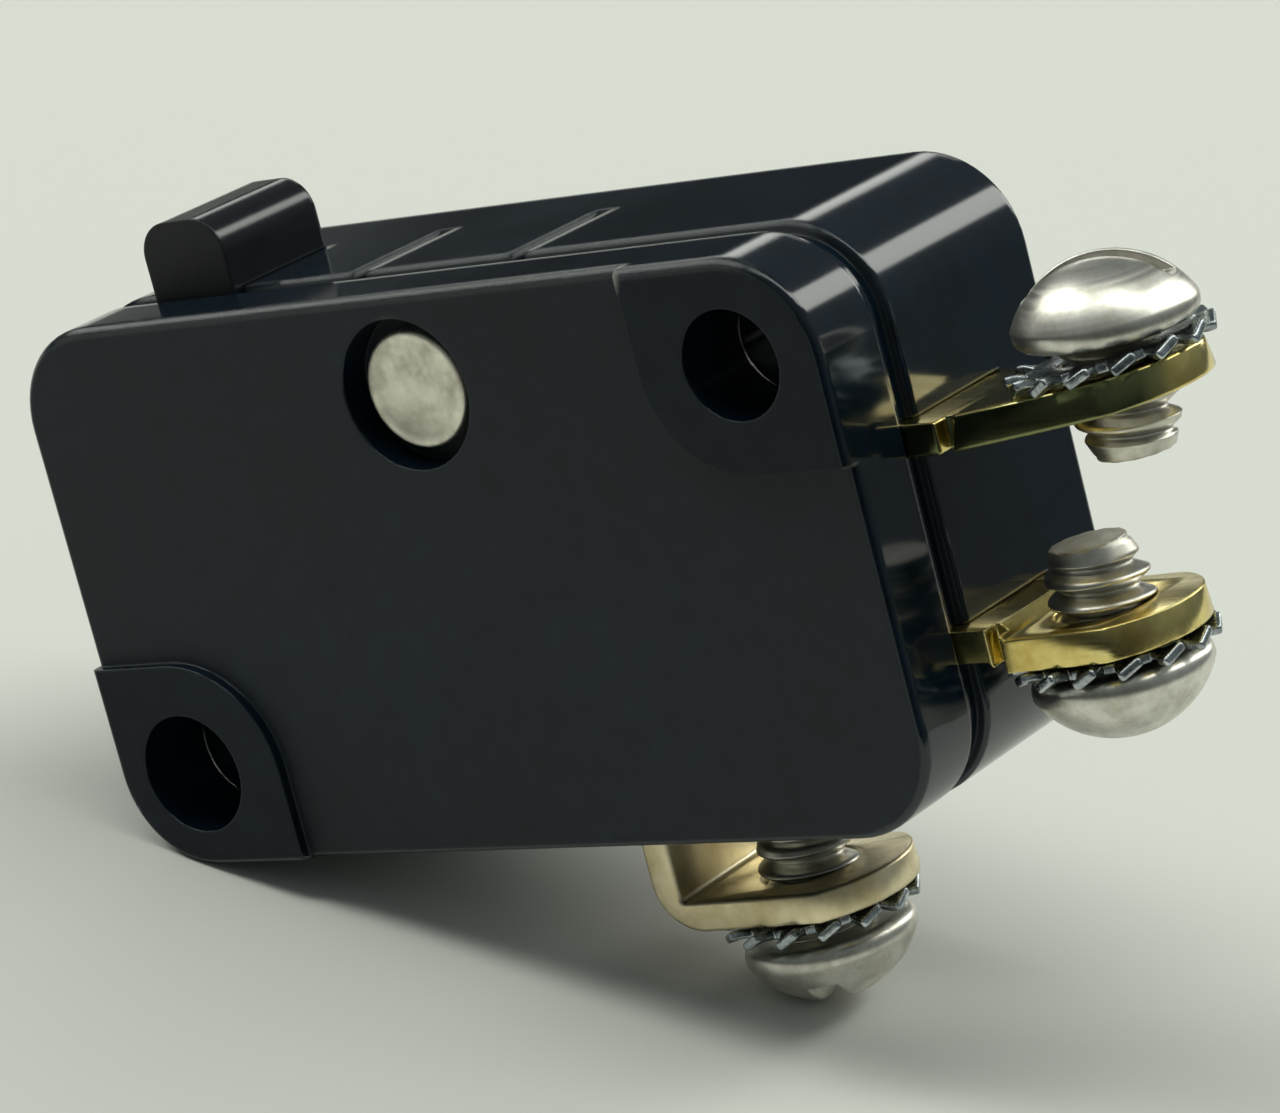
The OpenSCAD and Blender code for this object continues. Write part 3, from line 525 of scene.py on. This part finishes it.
def turned_rivet():
    """A rivet in millimetres: dished and rounded front head, plain shank, and a tail rolled back round its bore."""
    crest, corner = RIVET_HEAD_R - RIVET_RIM, RIVET_HEAD_R - RIVET_CORNER
    roll, curl = (RIVET_TAIL_R + RIVET_BORE_R) / 2, (RIVET_TAIL_R - RIVET_BORE_R) / 2
    profile = []
    for i in range(DISH_STEPS + 1):
        share = i / DISH_STEPS
        profile.append((crest * share, RIVET_FACE - RIVET_DISH * (1 - share**4)))
    for a in QUARTER[1:]:
        profile.append((corner + RIVET_CORNER * math.sin(a), RIVET_FACE - RIVET_CORNER * (1 - math.cos(a))))
    profile += [(RIVET_HEAD_R, RIVET_SEAT + RIVET_BURR), (RIVET_HEAD_R - RIVET_BURR, RIVET_SEAT)]
    profile += [(RIVET_R, RIVET_SEAT), (RIVET_R, RIVET_TAIL + RIVET_NECK)]
    profile += [(roll + curl * math.cos(a), RIVET_TAIL + curl * (1 - math.sin(a))) for a in HALF_TURN]
    profile += [(RIVET_BORE_R, BORE_END - BORE_CORNER), (RIVET_BORE_R - BORE_CORNER, BORE_END), (0, BORE_END)]
    work = bmesh.new()
    ringed(work, profile, [math.tau * i / RIVET_STEPS for i in range(RIVET_STEPS)])
    return closed_mesh(work, "turned_rivet")


def keep_place(mesh):
    """Keeps each point's place in the piece's own frame, in metres, for patterns that turn with it."""
    kept = mesh.attributes.new("own_place", "FLOAT_VECTOR", "POINT")
    kept.data.foreach_set("vector", [c * MM for v in mesh.vertices for c in v.co])


def blanked(mesh, seat, start, slant):
    """Leans the outer edge of a strap's screw end in towards its upper face, as the blanking tool left it."""
    inverse = seat.inverted()
    for vertex in mesh.vertices:
        p = inverse @ vertex.co
        out = math.hypot(max(p.x, 0), p.y)
        if p.x > start and out > HEAD_D / 2 - SLANT_INSET and abs(p.z) < STRAP_T:
            k = 1 - slant * (p.z / STRAP_T + 0.5) * abs(p.y) / out
            vertex.co = seat @ Vector((p.x, p.y * k, p.z))


def slotted_head():
    """A screw head in millimetres with its slot along X: ringed to the slot's floor, then a half cap on each side."""
    radius, rise = HEAD_D / 2, HEAD_H - RIM_H
    ball = (radius**2 + rise**2) / (2 * rise)
    middle, floor, lip = HEAD_H - ball, HEAD_H - SLOT_DEPTH, SLOT_W / 2 + SLOT_EDGE
    floor_r = math.sqrt(ball**2 - (floor - middle) ** 2)

    def dome(x, y):
        """The dome's height over a point."""
        return middle + math.sqrt(ball**2 - x * x - y * y)

    # Round the head: each half cap, and the slot's mouth between them
    start = math.asin(lip / floor_r)
    cap = [start + (math.pi - 2 * start) * i / CAP_COLUMNS for i in range(CAP_COLUMNS + 1)]
    gap = [start * i / 3 for i in (-2, -1, 0, 1, 2)]
    angles = cap + [math.pi + a for a in gap] + [math.pi + a for a in cap] + gap
    low, high = math.asin(radius / ball), math.asin(floor_r / ball)
    rising = [low + (high - low) * i / DOME_ROWS for i in range(DOME_ROWS + 1)]
    profile = [(ROOT_D / 2, 0)]
    profile += [(radius - HEAD_EDGE * (1 - math.sin(a)), HEAD_EDGE * (1 - math.cos(a))) for a in QUARTER]
    profile += [(ball * math.sin(a), middle + ball * math.cos(a)) for a in rising]
    work = bmesh.new()
    rings = ringed(work, profile, angles)
    work.faces.new(list(reversed(rings[0])))
    top = rings[-1]
    # Lines of points from the rim over the dome, round the slot's edge and down its wall
    second = len(cap) + len(gap)
    walls = []
    for side, first in ((1, 0), (-1, second)):
        lines = []
        for i, rim in enumerate(top[first : first + len(cap)]):
            line = [rim]
            if 0 < i < CAP_COLUMNS:
                x, y = rim.co.x, abs(rim.co.y)
                lip_z = dome(x, lip)
                edge = min(SLOT_EDGE, (lip_z - floor) / 2)
                inward = [y + (lip - y) * k / CAP_ROWS for k in range(1, CAP_ROWS + 1)]
                points = [(y, dome(x, y)) for y in inward]
                points += [(lip - SLOT_EDGE * math.sin(a), lip_z - edge * (1 - math.cos(a))) for a in QUARTER[2::2]]
                points.append((SLOT_W / 2, floor))
                line += [work.verts.new((x, side * y, z)) for y, z in points]
            lines.append(line)
        longest = max(len(line) for line in lines)
        lines = [line + [line[-1]] * (longest - len(line)) for line in lines]
        for a, b in zip(lines, lines[1:]):
            for k in range(longest - 1):
                work.faces.new(list(dict.fromkeys((a[k], b[k], b[k + 1], a[k + 1]))))
        walls.append([line[-1] for line in lines])
    # The slot's floor and its two mouths
    back, front = walls[0], list(reversed(walls[1]))
    for i in range(CAP_COLUMNS):
        work.faces.new((back[i], back[i + 1], front[i + 1], front[i]))
    work.faces.new(top[CAP_COLUMNS : second + 1])
    work.faces.new(top[-len(gap) - 1 :] + [top[0]])
    return closed_mesh(work, "slotted_head")


def thread_tree():
    """Adds a threaded shank below a screw head: a tube whose rows follow the thread's helix, tapered at its end."""
    tree, given, made = new_tree(
        "threaded_shank", Head="Geometry", Crest_Radius="Float", Root_Radius="Float", Pitch="Float",
        Length="Float", Crown="Float", Sunk="Float", Turns="Int", Rows="Int", Finish="Material",
    )
    down = add(tree, "ShaderNodeMath", {0: given["Turns"], 1: given["Rows"]}, {2: 1}, operation="MULTIPLY_ADD")
    grid = add(
        tree, "GeometryNodeMeshGrid", {"Vertices Y": down.outputs[0]},
        {"Size X": 1, "Size Y": 1, "Vertices X": THREAD_SIDES + 1},
    )
    place = add(tree, "ShaderNodeSeparateXYZ", {0: add(tree, "GeometryNodeInputPosition").outputs[0]})
    angle = add(
        tree, "ShaderNodeMath", {0: place.outputs["X"]}, {1: math.tau, 2: math.pi}, operation="MULTIPLY_ADD"
    )
    # Turns along the shank, counted from one turn before its start
    run = add(tree, "ShaderNodeMath", {0: place.outputs["Y"]}, {1: 0.5}, operation="ADD")
    count = add(tree, "ShaderNodeMath", {0: run.outputs[0], 1: given["Turns"]}, {2: -1}, operation="MULTIPLY_ADD")
    ahead = add(tree, "ShaderNodeMath", {0: place.outputs["X"]}, {1: 0.5}, operation="ADD")
    turn = add(tree, "ShaderNodeMath", {0: count.outputs[0], 1: ahead.outputs[0]}, operation="ADD")
    depth = add(tree, "ShaderNodeMath", {0: turn.outputs[0], 1: given["Pitch"]}, operation="MULTIPLY")
    # Flanks with a small flat on crest and root
    wave = add(tree, "ShaderNodeMath", {0: count.outputs[0]}, {1: 0.5}, operation="PINGPONG")
    flank = add(
        tree, "ShaderNodeMapRange",
        {"Value": wave.outputs[0], "To Min": given["Root Radius"], "To Max": given["Crest Radius"]},
        {"From Min": THREAD_FLAT, "From Max": 0.5 - THREAD_FLAT},
    )
    # The thread runs out towards the end, and both ends close to a point
    left = add(tree, "ShaderNodeMath", {0: given["Length"], 1: depth.outputs[0]}, operation="SUBTRACT")
    taper = add(
        tree, "ShaderNodeMath", {0: left.outputs[0], 2: given["Root Radius"]}, {1: THREAD_TAPER},
        operation="MULTIPLY_ADD",
    )
    share = add(tree, "ShaderNodeMath", {0: left.outputs[0], 1: given["Pitch"]}, operation="DIVIDE")
    past = add(
        tree, "ShaderNodeMath", {0: share.outputs[0], 1: given["Root Radius"], 2: given["Root Radius"]},
        operation="MULTIPLY_ADD",
    )
    birth = add(tree, "ShaderNodeMath", {0: depth.outputs[0]}, {1: SHANK_FLARE}, operation="MULTIPLY")
    least = flank.outputs["Result"]
    for limit in (taper, past, birth):
        least = add(tree, "ShaderNodeMath", {0: least, 1: limit.outputs[0]}, operation="MINIMUM").outputs[0]
    radius = add(tree, "ShaderNodeMath", {0: least}, {1: 0}, operation="MAXIMUM")
    held = add(tree, "ShaderNodeClamp", {"Value": depth.outputs[0], "Max": given["Length"]}, {"Min": 0})
    # The sheared end is left a little crowned
    crown = add(
        tree, "ShaderNodeMapRange", {"Value": share.outputs[0], "To Max": given["Crown"]},
        {"From Min": 0, "From Max": -1},
    )
    end = add(tree, "ShaderNodeMath", {0: held.outputs[0], 1: crown.outputs["Result"]}, operation="ADD")
    height = add(tree, "ShaderNodeMath", {0: given["Sunk"], 1: end.outputs[0]}, operation="SUBTRACT")
    cosine = add(tree, "ShaderNodeMath", {0: angle.outputs[0]}, operation="COSINE")
    sine = add(tree, "ShaderNodeMath", {0: angle.outputs[0]}, operation="SINE")
    across = add(tree, "ShaderNodeMath", {0: cosine.outputs[0], 1: radius.outputs[0]}, operation="MULTIPLY")
    along = add(tree, "ShaderNodeMath", {0: sine.outputs[0], 1: radius.outputs[0]}, operation="MULTIPLY")
    spot = add(
        tree, "ShaderNodeCombineXYZ", {"X": across.outputs[0], "Y": along.outputs[0], "Z": height.outputs[0]}
    )
    bent = add(tree, "GeometryNodeSetPosition", {"Geometry": grid.outputs["Mesh"], "Position": spot.outputs[0]})
    closed = add(tree, "GeometryNodeMergeByDistance", {"Geometry": bent.outputs[0]}, {"Distance": WELD / 2})
    end_tree(tree, (closed.outputs[0], given["Head"]), given, made)
    return tree


def washer_tree():
    """An external-tooth lock washer: a swept ring and twisted teeth set round it."""
    tree, given, made = new_tree(
        "tooth_lock_washer", Bore_Radius="Float", Ring_Radius="Float", Tooth_Length="Float", Tooth_Width="Float",
        Thickness="Float", Twist="Float", Teeth="Int", Finish="Material",
    )
    width = add(tree, "ShaderNodeMath", {0: given["Ring Radius"], 1: given["Bore Radius"]}, operation="SUBTRACT")
    middle = add(
        tree, "ShaderNodeMath", {0: width.outputs[0], 2: given["Bore Radius"]}, {1: 0.5}, operation="MULTIPLY_ADD"
    )
    section = add(
        tree, "GeometryNodeCurvePrimitiveQuadrilateral", {"Width": width.outputs[0], "Height": given["Thickness"]}
    )
    section = add(
        tree, "GeometryNodeFilletCurve", {"Curve": section.outputs[0]}, {"Radius": RING_EDGE, "Count": 3}, mode="POLY"
    )
    path = add(tree, "GeometryNodeCurvePrimitiveCircle", {"Radius": middle.outputs[0]}, {"Resolution": RING_STEPS})
    ring = add(tree, "GeometryNodeCurveToMesh", {"Curve": path.outputs[0], "Profile Curve": section.outputs[0]})
    size = add(
        tree, "ShaderNodeCombineXYZ",
        {"X": given["Tooth Length"], "Y": given["Tooth Width"], "Z": given["Thickness"]},
    )
    block = add(
        tree, "GeometryNodeMeshCube", {"Size": size.outputs[0]}, {"Vertices X": 6, "Vertices Y": 5, "Vertices Z": 3}
    )
    # Each tooth twists over its inner half
    place = add(tree, "GeometryNodeInputPosition")
    reach = add(tree, "ShaderNodeSeparateXYZ", {0: place.outputs[0]})
    share = add(tree, "ShaderNodeMath", {0: reach.outputs["X"], 1: given["Tooth Length"]}, operation="DIVIDE")
    twist = add(
        tree, "ShaderNodeMapRange", {"Value": share.outputs[0], "To Max": given["Twist"]},
        {"From Min": -0.45, "From Max": 0.1}, interpolation_type="SMOOTHSTEP",
    )
    turned = add(
        tree, "ShaderNodeVectorRotate", {"Vector": place.outputs[0], "Angle": twist.outputs["Result"]},
        rotation_type="X_AXIS",
    )
    centre = add(
        tree, "ShaderNodeMath", {0: given["Tooth Length"], 2: given["Ring Radius"]}, {1: TOOTH_OUT - 0.5},
        operation="MULTIPLY_ADD",
    )
    out = add(tree, "ShaderNodeCombineXYZ", {"X": centre.outputs[0]})
    bent = add(
        tree, "GeometryNodeSetPosition",
        {"Geometry": block.outputs["Mesh"], "Position": turned.outputs[0], "Offset": out.outputs[0]},
    )
    tooth = add(tree, "GeometryNodeSubdivisionSurface", {"Mesh": bent.outputs[0]}, {"Level": 2})
    dots = add(tree, "GeometryNodePoints", {"Count": given["Teeth"]})
    step = add(tree, "ShaderNodeMath", {1: given["Teeth"]}, {0: math.tau}, operation="DIVIDE")
    index = add(tree, "GeometryNodeInputIndex")
    angle = add(tree, "ShaderNodeMath", {0: index.outputs[0], 1: step.outputs[0]}, operation="MULTIPLY")
    # No two teeth were bent quite alike
    slack = add(tree, "FunctionNodeRandomValue", values={2: -0.2, 3: 0.0, "Seed": 3}, data_type="FLOAT")
    turn = add(tree, "ShaderNodeCombineXYZ", {"X": slack.outputs[1], "Z": angle.outputs[0]})
    teeth = add(
        tree, "GeometryNodeInstanceOnPoints",
        {"Points": dots.outputs[0], "Instance": tooth.outputs[0], "Rotation": turn.outputs[0]},
    )
    end_tree(tree, (ring.outputs[0], teeth.outputs[0]), given, made)
    return tree


screw_mesh = from_tree(
    thread_tree(), slotted_head(),
    {
        "Crest Radius": CREST_D / 2, "Root Radius": ROOT_D / 2, "Pitch": PITCH, "Length": SHANK_LENGTH - END_CROWN,
        "Crown": END_CROWN, "Sunk": SHANK_SUNK, "Turns": math.ceil(SHANK_LENGTH / PITCH) + SPARE_TURNS,
        "Rows": THREAD_ROWS, "Finish": nickel,
    },
)
ring_r = HEAD_D / 2 - RING_INSET
tooth_w = math.tau * ring_r / WASHER_TEETH * TOOTH_SHARE
# The twist at which a tooth's corners reach the washer's full height
tooth_twist = math.asin(WASHER_H / math.hypot(tooth_w, WASHER_T)) - math.atan2(WASHER_T, tooth_w)
washer_mesh = from_tree(
    washer_tree(), bpy.data.meshes.new("washer"),
    {
        "Bore Radius": WASHER_BORE / 2, "Ring Radius": ring_r, "Tooth Length": (WASHER_D / 2 - ring_r) / TOOTH_OUT,
        "Tooth Width": tooth_w, "Thickness": WASHER_T, "Twist": tooth_twist, "Teeth": WASHER_TEETH, "Finish": zinc,
    },
)
rivet_mesh = turned_rivet()
rivet_mesh.materials.append(tin)
for mesh in (screw_mesh, washer_mesh, rivet_mesh):
    mesh.shade_smooth()
    mesh.set_sharp_from_angle(angle=math.radians(SHARP_ANGLE))
for mesh in (screw_mesh, washer_mesh):
    keep_place(mesh)

for terminal, (strap_set, way, lean, back, slot_turn, slant_from, slant) in SEATS.items():
    level = Matrix.Translation(joints[f"{terminal}_screw_turn"]["pos_m"])
    level = level @ Matrix.Rotation(math.radians(-strap_set), 4, "Y") @ Matrix.Scale(MM, 4)
    seat = level @ Matrix.Rotation(math.pi if way < 0 else 0, 4, "X")
    axis = Matrix.Rotation(math.radians(lean), 4, "Y") @ Matrix.Translation((0, 0, STRAP_T / 2 + back + WASHER_H))
    screw = screw_mesh.copy()
    screw.transform(seat @ axis @ Matrix.Rotation(math.radians(slot_turn), 4, "Z"))
    show(f"{terminal}_slotted_screw", screw, f"{terminal}_screw", f"{terminal}_screw")
    washer = washer_mesh.copy()
    washer.transform(seat @ Matrix.Translation((0, 0, STRAP_T / 2 + WASHER_H / 2)))
    show(f"{terminal}_tooth_washer", washer, f"{terminal}_washer", f"{terminal}_lock_washer")
    strap = softened(f"{terminal}_terminal", STRAP_EDGE)
    blanked(strap, level, slant_from, slant)
    show(f"{terminal}_brass_strap", strap, "case", f"{terminal}_terminal")

rivet_mesh.transform(
    Matrix.Translation((RIVET_X * MM, 0, RIVET_Z * MM)) @ Matrix.Rotation(math.pi / 2, 4, "X") @ Matrix.Scale(MM, 4)
)
show("punched_rivet", rivet_mesh, "case", "cover_rivet")

# The blade's mesh is cut across at even steps between where its rivet holds it and its window
blade_mesh = softened("snap_blade", BLADE_EDGE)
work = bmesh.new()
work.from_mesh(blade_mesh)
for i in range(BLADE_BENDS + 1):
    x = BLADE_HELD + (BLADE_FREE - BLADE_HELD) * i / BLADE_BENDS
    every = [*work.verts, *work.edges, *work.faces]
    bmesh.ops.bisect_plane(work, geom=every, dist=WELD * MM, plane_co=(x * MM, 0, 0), plane_no=(1, 0, 0))
work.to_mesh(blade_mesh)
work.free()
blade = bpy.data.objects.new("rolled_snap_blade", blade_mesh)
scene.collection.objects.link(blade)
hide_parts("snap_blade")
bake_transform(blade)

# Camera, table, room and lamps

camera = bpy.data.objects.new("camera", bpy.data.cameras.new("camera"))
scene.collection.objects.link(camera)
camera.data.sensor_width = SENSOR
camera.data.lens = FOCAL_PIXELS / PHOTO_WIDTH * SENSOR
camera.data.clip_start, camera.data.clip_end = NEAR, FAR
camera.matrix_world = Matrix.Translation(CAMERA_AT) @ Matrix((RIGHT, -DOWN, -FORWARD)).transposed().to_4x4()
scene.camera = camera

# The switch lies tipped over on its lower corner and its common screw; halving finds the angle at which both touch
feet = {name: [v.co.copy() for v in nodes[name].data.vertices] for name in ("base_case", "common_screw")}
low, high = 0.0, math.radians(MOST_TIP)
for _ in range(HALVINGS):
    tip = (low + high) / 2
    up = Vector((math.sin(tip), 0, math.cos(tip)))
    reach = {name: min(up.dot(p) for p in points) for name, points in feet.items()}
    low, high = (tip, high) if reach["common_screw"] < reach["base_case"] else (low, tip)
ground = min(reach.values())
away = (FORWARD - up * FORWARD.dot(up)).normalized()
across = away.cross(up)
middle = SWITCH_MIDDLE + up * (ground - up.dot(SWITCH_MIDDLE))


def pale_table_top():
    """A matte pale table top. The camera sees it only in a patch round the switch that fades out, where it takes the
    switch's shadow, and sees the backdrop past that and through it from below; other rays meet all of it."""
    material = bpy.data.materials.new("pale_table_top")
    material.use_nodes = True
    tree = material.node_tree
    tree.nodes.clear()
    diffuse = add(tree, "ShaderNodeBsdfDiffuse", values={"Color": linear("#dedfd8")})
    clear = add(tree, "ShaderNodeBsdfTransparent")
    place = add(tree, "ShaderNodeTexCoord").outputs["Object"]
    patch = add(tree, "ShaderNodeMapping", {"Vector": place}, {"Location": PATCH_SHIFT, "Scale": PATCH_SCALE})
    spot = add(tree, "ShaderNodeVectorMath", {0: patch.outputs["Vector"]}, operation="LENGTH")
    shown = add(
        tree, "ShaderNodeMapRange", {"Value": spot.outputs["Value"]}, {"From Min": 1, "From Max": 0.85},
        interpolation_type="SMOOTHSTEP",
    )
    side = add(tree, "ShaderNodeNewGeometry")
    front = add(
        tree, "ShaderNodeMath", {0: shown.outputs["Result"], 1: side.outputs["Backfacing"]},
        operation="SUBTRACT", use_clamp=True,
    )
    path = add(tree, "ShaderNodeLightPath")
    other = add(tree, "ShaderNodeMath", {1: path.outputs["Is Camera Ray"]}, {0: 1}, operation="SUBTRACT")
    seen = add(tree, "ShaderNodeMath", {0: front.outputs["Value"], 1: other.outputs["Value"]}, operation="MAXIMUM")
    mix = add(
        tree, "ShaderNodeMixShader",
        {"Fac": seen.outputs["Value"], 1: clear.outputs["BSDF"], 2: diffuse.outputs["BSDF"]},
    )
    add(tree, "ShaderNodeOutputMaterial", {"Surface": mix.outputs["Shader"]})
    return material


def dim_room():
    """A dim room, darkest along the horizon and lighter to the right. The pale table goes on past its edge for the
    camera and for reflections that look well down."""
    world = bpy.data.worlds.new("studio")
    world.use_nodes = True
    tree = world.node_tree
    tree.nodes.clear()
    path = add(tree, "ShaderNodeLightPath").outputs
    place = add(tree, "ShaderNodeTexCoord").outputs["Generated"]
    height = add(tree, "ShaderNodeVectorMath", {0: place}, {1: up}, operation="DOT_PRODUCT").outputs["Value"]
    below = add(tree, "ShaderNodeMapRange", {"Value": height}, {"From Min": -0.3, "From Max": -0.4})
    mirrored = add(
        tree, "ShaderNodeMath", {0: path["Is Glossy Ray"], 1: path["Is Transmission Ray"]}, operation="MAXIMUM"
    )
    lower = add(
        tree, "ShaderNodeMath", {0: mirrored.outputs["Value"], 1: below.outputs["Result"]}, operation="MULTIPLY"
    )
    shown = add(tree, "ShaderNodeMath", {0: path["Is Camera Ray"], 1: lower.outputs["Value"]}, operation="MAXIMUM")
    glow = add(
        tree, "ShaderNodeMapRange", {"Value": height},
        {"From Min": 0.05, "From Max": 0.6, "To Min": 0.04, "To Max": 0.3},
    )
    aside = add(tree, "ShaderNodeVectorMath", {0: place}, {1: across}, operation="DOT_PRODUCT").outputs["Value"]
    window = add(tree, "ShaderNodeMapRange", {"Value": aside}, {"From Min": 0.3, "From Max": 0.9, "To Max": 0.2})
    level = add(tree, "ShaderNodeMath", {0: glow.outputs["Result"], 1: window.outputs["Result"]}, operation="ADD")
    room = add(tree, "ShaderNodeBackground", {"Strength": level.outputs["Value"]}, {"Color": linear("#bcc6c8")})
    pale = add(tree, "ShaderNodeBackground", values={"Color": linear("#d6dbcf"), "Strength": 1.0})
    mix = add(
        tree, "ShaderNodeMixShader",
        {"Fac": shown.outputs["Value"], 1: room.outputs["Background"], 2: pale.outputs["Background"]},
    )
    add(tree, "ShaderNodeOutputWorld", {"Surface": mix.outputs["Shader"]})
    return world


def lamp(name, bearing, height, distance, width, depth, glow, roll=0):
    """A softbox by its bearing from straight behind the switch, its height and roll in degrees, its distance and size
    in metres, and its radiance."""
    bearing, height = math.radians(bearing), math.radians(height)
    direction = math.cos(height) * (math.cos(bearing) * away + math.sin(bearing) * across) + math.sin(height) * up
    light = bpy.data.lights.new(name, "AREA")
    light.shape, light.size, light.size_y = "RECTANGLE", width, depth
    light.energy = glow * math.pi * width * depth
    light.color = linear("#fdfff8")[:3]
    box = bpy.data.objects.new(name, light)
    scene.collection.objects.link(box)
    side = direction.cross(up).normalized()
    faced = Matrix((side, direction.cross(side), direction)).transposed().to_4x4()
    turned = faced @ Matrix.Rotation(math.radians(roll), 4, "Z")
    box.matrix_world = Matrix.Translation(middle + direction * distance) @ turned
    box.visible_camera = False


# The table ends in front of the switch, out of the picture
mesh = bpy.data.meshes.new("table_top")
corners = [(-TABLE_WIDE, TABLE_NEAR), (TABLE_WIDE, TABLE_NEAR), (TABLE_WIDE, TABLE_FAR), (-TABLE_WIDE, TABLE_FAR)]
mesh.from_pydata([(x, y, 0) for x, y in corners], [], [(0, 1, 2, 3)])
mesh.materials.append(pale_table_top())
floor = bpy.data.objects.new("table_top", mesh)
scene.collection.objects.link(floor)
floor.matrix_world = Matrix.Translation(middle) @ Matrix((across, away, up)).transposed().to_4x4()

scene.world = dim_room()
lamp("overhead_tube", bearing=180, height=86, distance=1.2, width=1.2, depth=0.26, glow=5.2)
lamp("right_softbox", bearing=57, height=38, distance=1.1, width=1.6, depth=0.28, glow=4.6, roll=-57)
lamp("left_softbox", bearing=-67, height=39, distance=1.1, width=1.0, depth=0.34, glow=4.6, roll=57)
lamp("low_strip", bearing=-3, height=13.5, distance=1.2, width=0.6, depth=0.21, glow=2.1)
